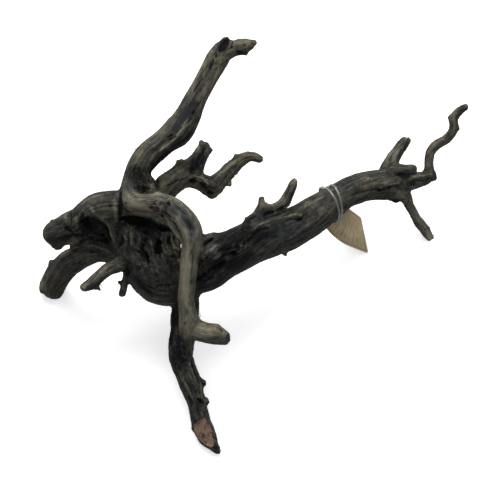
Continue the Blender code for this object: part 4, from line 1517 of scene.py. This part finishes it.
            mask = weights[rows].sum(axis=0) * facing
            near = mask > LEAST_SHARE
            aside = WANDER * carving.ragged * np.column_stack([part[near] for part in wander])
            apart, place = self._from_line(board[near, :2] + aside, carving.line)
            apart += carving.ragged * FRAY * fray[0][near]
            width = carving.width * (1.0 - carving.taper * np.abs(2.0 * place - 1.0) ** 3)
            share_of = np.clip((1.0 - apart / width) * carving.hard, 0.0, 1.0)
            share_of = rounded_step(share_of, 0.0, 1.0) * mask[near]
            breaks = carving.broken * (fray[1][near] * BREAK_GAIN + BREAK_SHIFT)
            share_of *= np.clip(1.0 + breaks, 0.0, BREAK_MOST)
            depth[near] += carving.depth * share_of
            layers[carving.channel][near] += carving.shade * share_of
        moved = height - depth
        from_band = np.linalg.norm(points - BOARD.to_space([BAND_PLACE])[0], axis=1)
        at_band = rounded_step(from_band, self.band_reach * 2.2, self.band_reach * 1.4)
        moved = moved * (1.0 - at_band) + np.clip(moved * 0.6 - 0.2, -0.7, 0.15) * at_band
        moved *= rounded_step(points[:, 2], -2.0, 6.0)
        seen = rounded_step(squareness, -0.7, -0.3)
        points = self._cut_facets(points + normals * moved[:, None], board, weights, seen, layers)
        write_vertices(wood, points * MM)
        # Tone from the carved shape: what stands out is paler as wear, while hollows and sunk places are
        # darkened as painted shade.
        worn = 0.21 * np.clip(self._standing_out(wood, 8), -1.4, 0.8)
        worn += 0.10 * np.clip(self._standing_out(wood, 90), -3.0, 1.5)
        tone = tone + layers[TONE] + worn + 0.12 * np.clip(moved, -2.5, 2.0)
        stored = {"tone": tone, "streak": np.clip(relief, 0.0, 1.2)}
        for channel in (SCAR, CUT, RED, COOL):
            stored[channel.value] = np.clip(layers[channel], 0.0, 1.0)
        stored |= {"grain_first": places[first, every], "grain_second": places[second, every]}
        for name, values in (stored | {"grain_share": share}).items():
            write_attribute(wood, name, values)

    def _cut_facets(
        self,
        points: Array,
        board: Array,
        weights: Array,
        facing: Array,
        layers: dict[Channel, Array],
    ) -> Array:
        """Cuts the flat places and colours them.

        Args:
            points: the carved vertices.
            board: where they lay on the board before.
            weights: how much each limb owns each vertex, one row for each limb.
            facing: how squarely each vertex is seen, from 0 to 1.
            layers: the colour channels, which are added to.

        Returns:
            The vertices' new places.
        """
        names = [limb.name for limb in LIMBS]
        for facet in FACETS:
            mask = weights[[names.index(name) for name in facet.limbs]].sum(axis=0) * facing
            corners = np.asarray(facet.corners, float).reshape(-1, 2)
            inside = np.full(len(points), np.inf)
            for start, end in zip(corners, np.roll(corners, -1, axis=0)):
                run = unit(end - start)
                offset = board[:, :2] - start
                inside = np.minimum(inside, run[0] * offset[:, 1] - run[1] * offset[:, 0])
            low, high = (-0.4, 0.8) if facet.middle else (-1.0, 2.0)
            within = rounded_step(inside, low, high) * (mask > 0.3)
            if facet.middle:
                normal = unit(np.asarray(facet.facing) @ np.array(BOARD.axes()))
                rise = (points - BOARD.to_space([facet.middle])[0]) @ normal
                shaved = np.clip(rise, 0.0, None) * within
                points = points - shaved[:, None] * normal
                within = within * rounded_step(shaved, 0.02, 0.25)
            layers[facet.channel] += facet.shade * within
        return points

    def _standing_out(self, wood: Thing, rounds: int) -> Array:
        """Measures how far each vertex stands out from a softened copy of the skin.

        Args:
            wood: the carved wood.
            rounds: how often the copy is softened.

        Returns:
            Heights, below zero in hollows.
        """
        pick(wood)
        bpy.ops.object.duplicate()
        soft = bpy.context.object
        apply_modifier(soft, "SMOOTH", factor=0.5, iterations=rounds)
        offset = (vertex_array(wood) - vertex_array(soft)) / MM
        bpy.data.objects.remove(soft)
        return dots(offset, vertex_array(wood, "normal"))

    def _from_line(self, spots: Array, line: tuple[float, ...]) -> tuple[Array, Array]:
        """Measures how far spots on the board lie from a line of points.

        Args:
            spots: rows of right and down.
            line: right and down of each of the line's corners in turn.

        Returns:
            Distances, and how far along the line the nearest places are, from 0 to 1.
        """
        corners = np.asarray(line, float).reshape(-1, 2)
        lengths = np.linalg.norm(np.diff(corners, axis=0), axis=1)
        best = np.full(len(spots), np.inf)
        place = np.zeros(len(spots))
        for index, (start, end) in enumerate(zip(corners, corners[1:])):
            run = end - start
            share = np.clip((spots - start) @ run / (run @ run), 0.0, 1.0)
            apart = np.linalg.norm(spots - start - share[:, None] * run, axis=1)
            nearer = apart < best
            best[nearer] = apart[nearer]
            place[nearer] = (lengths[:index].sum() + share[nearer] * lengths[index]) / lengths.sum()
        return best, place

    def _stand_on_floor(self, wood: Thing) -> None:
        """Cuts the feet flat where the wood stands.

        Args:
            wood: the carved wood.
        """
        pick(wood)
        bpy.ops.object.mode_set(mode="EDIT")
        bpy.ops.mesh.select_all(action="SELECT")
        bpy.ops.mesh.bisect(
            plane_co=(0, 0, 0), plane_no=(0, 0, 1), use_fill=True, clear_inner=True, threshold=1e-6
        )
        bpy.ops.mesh.select_all(action="SELECT")
        bpy.ops.mesh.normals_make_consistent(inside=False)
        bpy.ops.object.mode_set(mode="OBJECT")
        wood.data.shade_smooth()


@dataclass
class LooseFibres:
    """Torn fibres that stand off the wood.

    Attributes:
        hairs: each fibre's rows of right, down, out and radius.
    """

    hairs: tuple = (
        ((87, 203.5, -6, 0.5), (84.5, 200.5, -6, 0.42), (82.3, 198.3, -5, 0.22)),
        ((99, 284, 7, 0.5), (101.5, 285.5, 7, 0.4), (103, 288.3, 7, 0.2)),
        ((137, 153, -10, 0.5), (135.5, 149.5, -9, 0.4), (136.4, 145.8, -8, 0.2)),
        ((165, 129, -11, 0.5), (164, 125, -10, 0.4), (162.8, 121.8, -9, 0.2)),
        ((166, 174.5, -30, 0.5), (164, 171.5, -30, 0.4), (162.8, 170.2, -30, 0.2)),
        ((124, 285, -9, 0.6), (120.5, 283, -9, 0.5), (118.6, 280.6, -9, 0.22)),
        ((225, 180, -46, 0.5), (228, 182.5, -46, 0.4), (229.5, 184, -46, 0.2)),
        ((432, 178, -112, 0.6), (435, 176.5, -112, 0.5), (436, 174, -112, 0.25)),
        ((198, 320, 12, 0.5), (200, 316, 12, 0.4), (199.5, 312.5, 12, 0.2)),
        ((80, 207, -6, 0.5), (77.5, 205.5, -5, 0.4), (76, 203.6, -4, 0.2)),
    )

    def build(self, finish: WoodFinish) -> Thing:
        """Models the fibres as tapering threads.

        Args:
            finish: the wood's colours.

        Returns:
            One piece with all the fibres.
        """
        threads = []
        for number, stations in enumerate(self.hairs):
            path = LimbPath(Limb(f"hair_{number}", stations), 1.0)
            threads.append(tube(f"hair_{number}", path.points, path.radii, 2))
        made = joined("loose_fibres", threads)
        made.data.shade_smooth()
        sheet = NodeSheet("loose_fibres_wood")
        shade = sheet.noise(sheet.places(), 400.0, 2.0).ramp(0.3, 0.7)
        sheet.surface(Base_Color=sheet.mix(shade, finish.middle, finish.pale), Roughness=0.85)
        sheet.paint(made)
        return made


@dataclass
class BranchFrame:
    """Directions at the place on the main branch that the band goes round.

    Attributes:
        next_place: the next place along the branch, in right, down and out.
        girth: the branch's radius on the board.
        hole_angle: how far round the branch the card's hole lies.
    """

    next_place: Triple = (345, 193.8, -75)
    girth: float = 16.6
    hole_angle: float = math.radians(141.0)

    def __post_init__(self) -> None:
        """Works out the directions."""
        self.middle, end = BOARD.to_space([BAND_PLACE, self.next_place])
        self.radius = self.girth * (1.0 - BAND_PLACE[2] / BOARD.distance)
        self.along = unit(end - self.middle)
        out = BOARD.axes()[2]
        self.front = unit(out - self.along * (out @ self.along))
        self.top = np.cross(self.front, self.along)

    def outward(self, angle: float) -> Array:
        """Gives the way out of the branch at an angle from its front towards its top."""
        return math.cos(angle) * self.front + math.sin(angle) * self.top


def away(angle: Array, other: float) -> Array:
    """Gives how far angles are from another angle, with a sign."""
    return (angle - other + math.pi) % (2 * math.pi) - math.pi


@dataclass
class ElasticBand:
    """The clear elastic band, which goes twice round the branch and through the card.

    Attributes:
        frame: the branch's directions.
        finish: its colour and gloss.
        width: the strand's width.
        thickness: how thick it is.
        gap: its clearance over the wood.
        shift: where its middle lies along the branch.
        lean: how far it leans along the branch.
        spread: how far its two turns lie apart.
        crossing_lift: how far one turn lifts over the other.
        card_angle: where it passes over the card's tip.
        card_span: how far round it lies on the card.
        pinch: how much closer its turns lie in the card's hole.
        pinch_span: how far round its turns are pinched.
        count: how many points its line has.
        cast_from: how far out the wood is felt for.
    """

    frame: BranchFrame = field(default_factory=BranchFrame)
    finish: BandFinish = BandFinish()
    width: float = 2.9
    thickness: float = 1.1
    gap: float = 0.15
    shift: float = 0.4
    lean: float = 5.2
    spread: float = 4.3
    crossing_lift: float = 1.3
    card_angle: float = math.radians(106.0)
    card_span: float = math.radians(25.0)
    pinch: float = 0.6
    pinch_span: float = math.radians(25.0)
    count: int = 240
    cast_from: float = 30.0

    def _rest_on(self, skins: list[BVHTree], angle: float, aside: float) -> float:
        """Finds how far out the branch, or what lies on it, reaches.

        Args:
            skins: the surfaces, in metres.
            angle: how far round the branch.
            aside: how far along it.

        Returns:
            The distance from the branch's middle.
        """
        outward = self.frame.outward(angle)
        foot = self.frame.middle + self.frame.along * aside
        start = Vector((foot + outward * self.cast_from) * MM)
        reach = 0.0
        for skin in skins:
            hit = skin.ray_cast(start, Vector(-outward), self.cast_from * MM)[0]
            if hit is not None:
                reach = max(reach, float((np.array(hit) / MM - foot) @ outward))
        return reach

    def line(self, wood: Thing, card: Thing) -> Array:
        """Lays the strand's middle line over the wood and the card's tip.

        Args:
            wood: the finished wood.
            card: the finished card.

        Returns:
            Points, of one closed run.
        """
        graph = bpy.context.evaluated_depsgraph_get()
        wood_skin, card_skin = (BVHTree.FromObject(piece, graph) for piece in (wood, card))
        turns = np.arange(self.count) * 4 * math.pi / self.count
        angles = turns - math.pi / 2
        in_hole = np.exp(-((away(angles, self.frame.hole_angle) / self.pinch_span) ** 2))
        spread = self.spread * np.sin(turns / 2) * (1.0 - self.pinch * in_hole)
        aside = self.shift + self.lean * np.sin(angles) + spread
        over_card = np.abs(away(angles, self.card_angle)) < self.card_span
        reach = np.empty(self.count)
        for index, angle in enumerate(angles):
            skins = [wood_skin, card_skin] if over_card[index] else [wood_skin]
            near = [aside[index] + step for step in (-0.8, 0.0, 0.8)]
            reach[index] = max(self._rest_on(skins, angle, place) for place in near)
        window = np.arange(-4, 5)
        around = (np.arange(self.count)[:, None] + window) % self.count
        reach = reach[around].max(axis=1) * 0.5 + reach[around].mean(axis=1) * 0.5
        reach = reach[around].mean(axis=1) + self.gap + self.thickness / 2
        reach += self.crossing_lift * np.maximum(0.0, np.cos(turns / 2)) ** 8
        outward = np.array([self.frame.outward(angle) for angle in angles])
        return self.frame.middle + outward * reach[:, None] + np.outer(aside, self.frame.along)

    def build(self, wood: Thing, card: Thing) -> Thing:
        """Models and dresses the band.

        Args:
            wood: the finished wood.
            card: the finished card.

        Returns:
            The finished piece.
        """
        points = self.line(wood, card)
        swell = 0.97 + 0.08 * LatticeNoise(21).at(points / 4.0)
        made = tube("elastic_band", points, swell * self.width / 2, 5, ring=True)
        self._flatten(made, points)
        made.data.shade_smooth()
        self._dress(made)
        return made

    def _flatten(self, made: Thing, points: Array) -> None:
        """Presses the strand flat against the branch.

        Args:
            made: the round strand.
            points: its middle line.
        """
        skin = vertex_array(made) / MM
        nearest = np.argmin(np.linalg.norm(skin[:, None] - points[None], axis=2), axis=1)
        offset = skin - points[nearest]
        from_axis = points[nearest] - self.frame.middle
        outward = unit(from_axis - np.outer(from_axis @ self.frame.along, self.frame.along))
        rise = dots(offset, outward)
        press = 1.0 - self.thickness / self.width
        write_vertices(made, (skin - outward * (rise * press)[:, None]) * MM)

    def _dress(self, made: Thing) -> None:
        """Gives the band its clear, glossy rubber.

        Args:
            made: the band.
        """
        sheet = NodeSheet("elastic_band_rubber")
        cloud = sheet.noise(sheet.places(), 260.0, 3.0)
        cloudy = tuple(part * self.finish.cloudy for part in self.finish.base)
        colour = sheet.mix(cloud.ramp(0.35, 0.7), cloudy, self.finish.base)
        sheet.surface(
            Base_Color=colour,
            Roughness=self.finish.roughness,
            Alpha=self.finish.alpha,
            Coat_Weight=self.finish.coat,
            Coat_Roughness=0.12,
            Specular_IOR_Level=0.6,
        )
        sheet.bumped(cloud, 0.25, 0.3 * MM)
        sheet.paint(made)


@dataclass
class CardTag:
    """The kraft card, which hangs down behind the branch with its far edge on the floor.

    Attributes:
        frame: the branch's directions.
        finish: its colours.
        rows: its left and right edge on the board, row by row from its tip.
        thickness: how thick it is.
        columns: how many points each row has.
        row_step: how far the rows lie apart.
        line_gap: how far its ruled lines lie apart.
        corner: the radius of its far corners.
        hole_aside: how far along the branch its hole lies.
        hole_radius: the hole's radius.
        punch: how long the punch is that cuts it.
    """

    frame: BranchFrame = field(default_factory=BranchFrame)
    finish: CardFinish = CardFinish()
    rows: tuple = (
        ((318.9, 187.6, -71.9), (323.2, 185.8, -73.2)),
        ((318.4, 192.3, -73.6), (325.4, 188.4, -76.6)),
        ((316.6, 197.6, -78), (329.7, 189.9, -84.9)),
        ((313.5, 204.9, -81.8), (333.4, 192.4, -92.1)),
        ((313.2, 213.3, -84.5), (337.5, 195.3, -100.3)),
        ((317.8, 221.2, -85.7), (341.4, 199.5, -106.3)),
        ((325.6, 227.6, -87), (345.6, 204, -109.5)),
        ((332.3, 235, -92), (349.2, 208.6, -116)),
        ((343, 243, -98.5), (353.4, 211.8, -122.5)),
        ((354.4, 248, -103.5), (357.2, 214.7, -128)),
        ((368.4, 253.4, -108), (361, 217.6, -134)),
    )
    thickness: float = 0.5
    columns: int = 33
    row_step: float = 1.5
    line_gap: float = 4.2
    corner: float = 2.6
    hole_aside: float = 3.8
    hole_radius: float = 4.4
    punch: float = 12.0

    def _edges(self) -> tuple[Array, Array]:
        """Samples the card's two edges, closer together where its far corners are rounded.

        Returns:
            Rows with the left and right edge, and each row's length from the tip.
        """
        edges = [BOARD.to_space([row[side] for row in self.rows]) for side in (0, 1)]
        pairs = smooth_curve(np.hstack(edges), 1.0)
        middles = (pairs[:, :3] + pairs[:, 3:]) / 2
        lengths = spacings(middles)
        total = lengths[-1]
        turns = np.linspace(0.0, math.pi / 2, 6)
        stops = np.arange(0.0, total - self.corner - self.row_step / 2, self.row_step)
        stops = np.concatenate((stops, total - self.corner * (1.0 - np.sin(turns))))
        rows = np.column_stack([np.interp(stops, lengths, pairs[:, column]) for column in range(6)])
        cut = self.corner * (1.0 - np.cos(turns))
        for index, inset in zip(range(len(stops) - len(turns), len(stops)), cut):
            inward = unit(rows[index, 3:] - rows[index, :3]) * inset
            rows[index, :3] += inward
            rows[index, 3:] -= inward
        return rows, stops

    def build(self) -> Thing:
        """Models and dresses the card.

        Returns:
            The finished piece.
        """
        rows, stops = self._edges()
        last = len(rows) - 1
        deselect_all()
        bpy.ops.mesh.primitive_grid_add(x_subdivisions=self.columns - 1, y_subdivisions=last, size=1.0)
        made = bpy.context.object
        made.name = "kraft_card"
        flat = vertex_array(made)
        across = 0.5 - 0.5 * np.cos(math.pi * (flat[:, 0] + 0.5))
        down = last - np.round((flat[:, 1] + 0.5) * last).astype(int)
        left, right = rows[down, :3], rows[down, 3:]
        write_vertices(made, (left + (right - left) * across[:, None]) * MM)
        apply_modifier(made, "SOLIDIFY", thickness=self.thickness * MM, offset=0.0)
        self._punch(made)
        self._lay_out(made, rows, stops)
        self._dress(made)
        return made

    def _lay_out(self, made: Thing, rows: Array, stops: Array) -> None:
        """Stores each vertex's place on the flat card: aside, along, and how far from its rim.

        Args:
            made: the card.
            rows: its left and right edges.
            stops: each row's length from the tip.
        """
        points = vertex_array(made) / MM
        middles = (rows[:, :3] + rows[:, 3:]) / 2
        widths = rows[:, 3:] - rows[:, :3]
        wide = np.linalg.norm(widths, axis=1)
        best = np.full(len(points), np.inf)
        place = np.zeros((len(points), 3))
        for index in range(len(rows) - 1):
            run = middles[index + 1] - middles[index]
            for share in (0.0, 0.25, 0.5, 0.75):
                centre = middles[index] + run * share
                side = widths[index] / wide[index]
                aside = np.clip((points - centre) @ side, -wide[index] / 2, wide[index] / 2)
                apart = np.linalg.norm(points - centre - aside[:, None] * side, axis=1)
                nearer = apart < best
                best[nearer] = apart[nearer]
                along = stops[index] + (stops[index + 1] - stops[index]) * share
                rim = np.minimum(wide[index] / 2 - np.abs(aside), stops[-1] - along)
                place[nearer] = np.column_stack((aside, np.full(len(points), along), rim))[nearer]
        write_attribute(made, "flat", place)

    def _punch(self, made: Thing) -> None:
        """Cuts the hole that the band runs through.

        Args:
            made: the card.
        """
        outward = self.frame.outward(self.frame.hole_angle)
        centre = self.frame.middle + self.frame.along * self.hole_aside + outward * self.frame.radius
        turn = Vector(outward).to_track_quat("Z", "Y").to_euler()
        deselect_all()
        bpy.ops.mesh.primitive_cylinder_add(
            vertices=48,
            radius=self.hole_radius * MM,
            depth=self.punch * MM,
            location=centre * MM,
            rotation=turn,
        )
        cut_out(made, bpy.context.object)

    def _dress(self, made: Thing) -> None:
        """Gives the card its kraft fibres, plain ruled lines, a painted shadow and a painted-light tip.

        Args:
            made: the card.
        """
        sheet = NodeSheet("kraft_card_paper")
        flat = sheet.attribute("flat").outputs["Vector"]
        fibres = sheet.grain(flat, (0.35, 1.6, 0.0), 3.0, 0.6)
        clouds = sheet.noise(sheet.places(), 60.0, 3.0)
        parts = sheet.node("ShaderNodeSeparateXYZ", {}, flat)
        along = Signal(sheet, parts.outputs["Y"])
        rim = Signal(sheet, parts.outputs["Z"])
        wobble = (sheet.grain(flat, (0.05, 0.22, 0.0), 2.0) - 0.5) * 3.0
        wave = sheet.node("ShaderNodeMath", {"operation": "PINGPONG"}, along + wobble, self.line_gap / 2)
        worn = sheet.grain(flat, (0.12, 0.3, 0.0), 2.0).ramp(0.36, 0.5)
        ruled = Signal(sheet, wave.outputs[0]).ramp(0.8, 0.3) * along.ramp(50.0, 52.0)
        ruled = ruled * rim.ramp(3.4, 4.0) * worn
        border = rim.ramp(0.9, 1.4) * rim.ramp(3.2, 2.6) * along.ramp(34.0, 38.0)
        colour = sheet.mix((fibres + clouds - 0.5).ramp(0.35, 0.75), self.finish.flecks_and_branch_shadow, self.finish.base)
        colour = sheet.mix((ruled + border).clamped() * 0.55, colour, self.finish.lines)
        # Painted shadow of the branch: the card darkens towards its right edge.
        aside = Signal(sheet, parts.outputs["X"])
        colour = sheet.mix(aside.ramp(-10.0, 14.0) * 0.4, colour, self.finish.flecks_and_branch_shadow)
        # The worn rim is paler, and the tip is painted paler as painted light where the lamps leave it
        # dark.
        worn_rim_and_tip_light = rim.ramp(1.0, 0.4) * 0.6 + along.ramp(16.0, 8.0) * 0.8
        colour = sheet.mix(worn_rim_and_tip_light.clamped(), colour, self.finish.edge)
        sheet.surface(Base_Color=colour, Roughness=self.finish.roughness, Specular_IOR_Level=0.25)
        sheet.bumped(fibres, 0.2, 0.25 * MM)
        sheet.paint(made)
        made.data.shade_smooth()
        pick(made)
        bpy.ops.object.shade_smooth_by_angle(angle=math.radians(40.0))


@dataclass
class Studio:
    """The floor, the soft light and the camera.

    Attributes:
        floor_size: the floor's side, in metres.
        floor_tone: how pale it is.
        floor_glow: how much light it gives itself.
        lens: the camera's focal length.
        sensor: the width of its sensor.
    """

    floor_size: float = 30.0
    floor_tone: float = 0.93
    floor_glow: float = 0.55
    lens: float = 150.0
    sensor: float = 36.0

    def build(self) -> None:
        """Sets the whole stage."""
        self._lay_floor()
        self._light()
        self._aim_camera()

    def _lay_floor(self) -> None:
        """Lays the pale floor just below the feet."""
        deselect_all()
        bpy.ops.mesh.primitive_plane_add(size=self.floor_size, location=(0.0, 0.0, -0.05 * MM))
        floor = bpy.context.object
        floor.name = "studio_floor"
        sheet = NodeSheet("studio_floor_paper")
        sheet.surface(Base_Color=(self.floor_tone,) * 3, Roughness=0.9, Specular_IOR_Level=0.1)
        sheet.surface(Emission_Color=(1.0, 1.0, 1.0), Emission_Strength=self.floor_glow)
        sheet.paint(floor)
        floor.visible_diffuse = False

    def _area(self, name: str, place: tuple, size: float, power: float) -> None:
        """Hangs a soft light that points at the wood.

        Args:
            name: the light's name.
            place: where it hangs, in metres.
            size: its side, in metres.
            power: its power, in watts.
        """
        deselect_all()
        bpy.ops.object.light_add(type="AREA", location=place)
        lamp = bpy.context.object
        lamp.name = name
        lamp.data.size = size
        lamp.data.energy = power
        aim = Vector((0.0, 0.0, 0.1)) - Vector(place)
        lamp.rotation_euler = aim.to_track_quat("-Z", "Y").to_euler()

    def _light(self) -> None:
        """Lights the wood from above and behind, with a weak fill."""
        self._area("top_light", (-0.3, 1.7, 2.1), 2.0, 84.0)
        self._area("front_light", (0.6, -2.0, 2.4), 2.2, 9.0)
        air = NodeSheet("studio_air", air=True)
        height = air.node("ShaderNodeSeparateXYZ", {}, air.places("Generated")).outputs["Z"]
        rise = air.node("ShaderNodeMapRange", {}, height, -0.25, 0.9, 0.05, 0.5)
        air.surface(Color=(1.0, 1.0, 1.0), Strength=rise.outputs[0])
        bpy.context.scene.world = air.owner
        bpy.context.scene.view_settings.view_transform = "Standard"

    def _aim_camera(self) -> None:
        """Places the camera where the board's viewer stands."""
        right, down, out = BOARD.axes()
        data = bpy.data.cameras.new("portrait_camera")
        data.sensor_width = self.sensor
        data.sensor_fit = "HORIZONTAL"
        data.lens = self.lens
        data.clip_end = 20.0
        camera = bpy.data.objects.new("portrait_camera", data)
        bpy.context.scene.collection.objects.link(camera)
        turn = Matrix((right, -down, out)).transposed().to_4x4()
        camera.matrix_world = Matrix.Translation(BOARD.eye() * MM) @ turn
        bpy.context.scene.camera = camera


def hand_over(piece: Thing, slot: str, *nodes: str) -> None:
    """Ties a finished piece to the frame and reports it.

    Args:
        piece: the finished piece.
        slot: the record's material slot; it is not used.
        nodes: the CAD nodes that it replaces.
    """
    if nodes:
        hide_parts(*nodes)
    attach(piece, BODY)
    LOG.info("%s: %d faces", piece.name, len(piece.data.polygons))


def main() -> None:
    """Builds the pieces in order, then the stage."""
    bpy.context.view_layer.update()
    driftwood = Driftwood()
    wood = driftwood.build()
    hand_over(wood, "wood", "driftwood")
    hand_over(LooseFibres().build(driftwood.finish), "wood")
    card = CardTag().build()
    hand_over(card, "card", "tag_card")
    hand_over(ElasticBand().build(wood, card), "band", "tag_band")
    Studio().build()


if __name__ == "__main__":
    logging.basicConfig(level=logging.INFO, format="%(message)s")
    main()
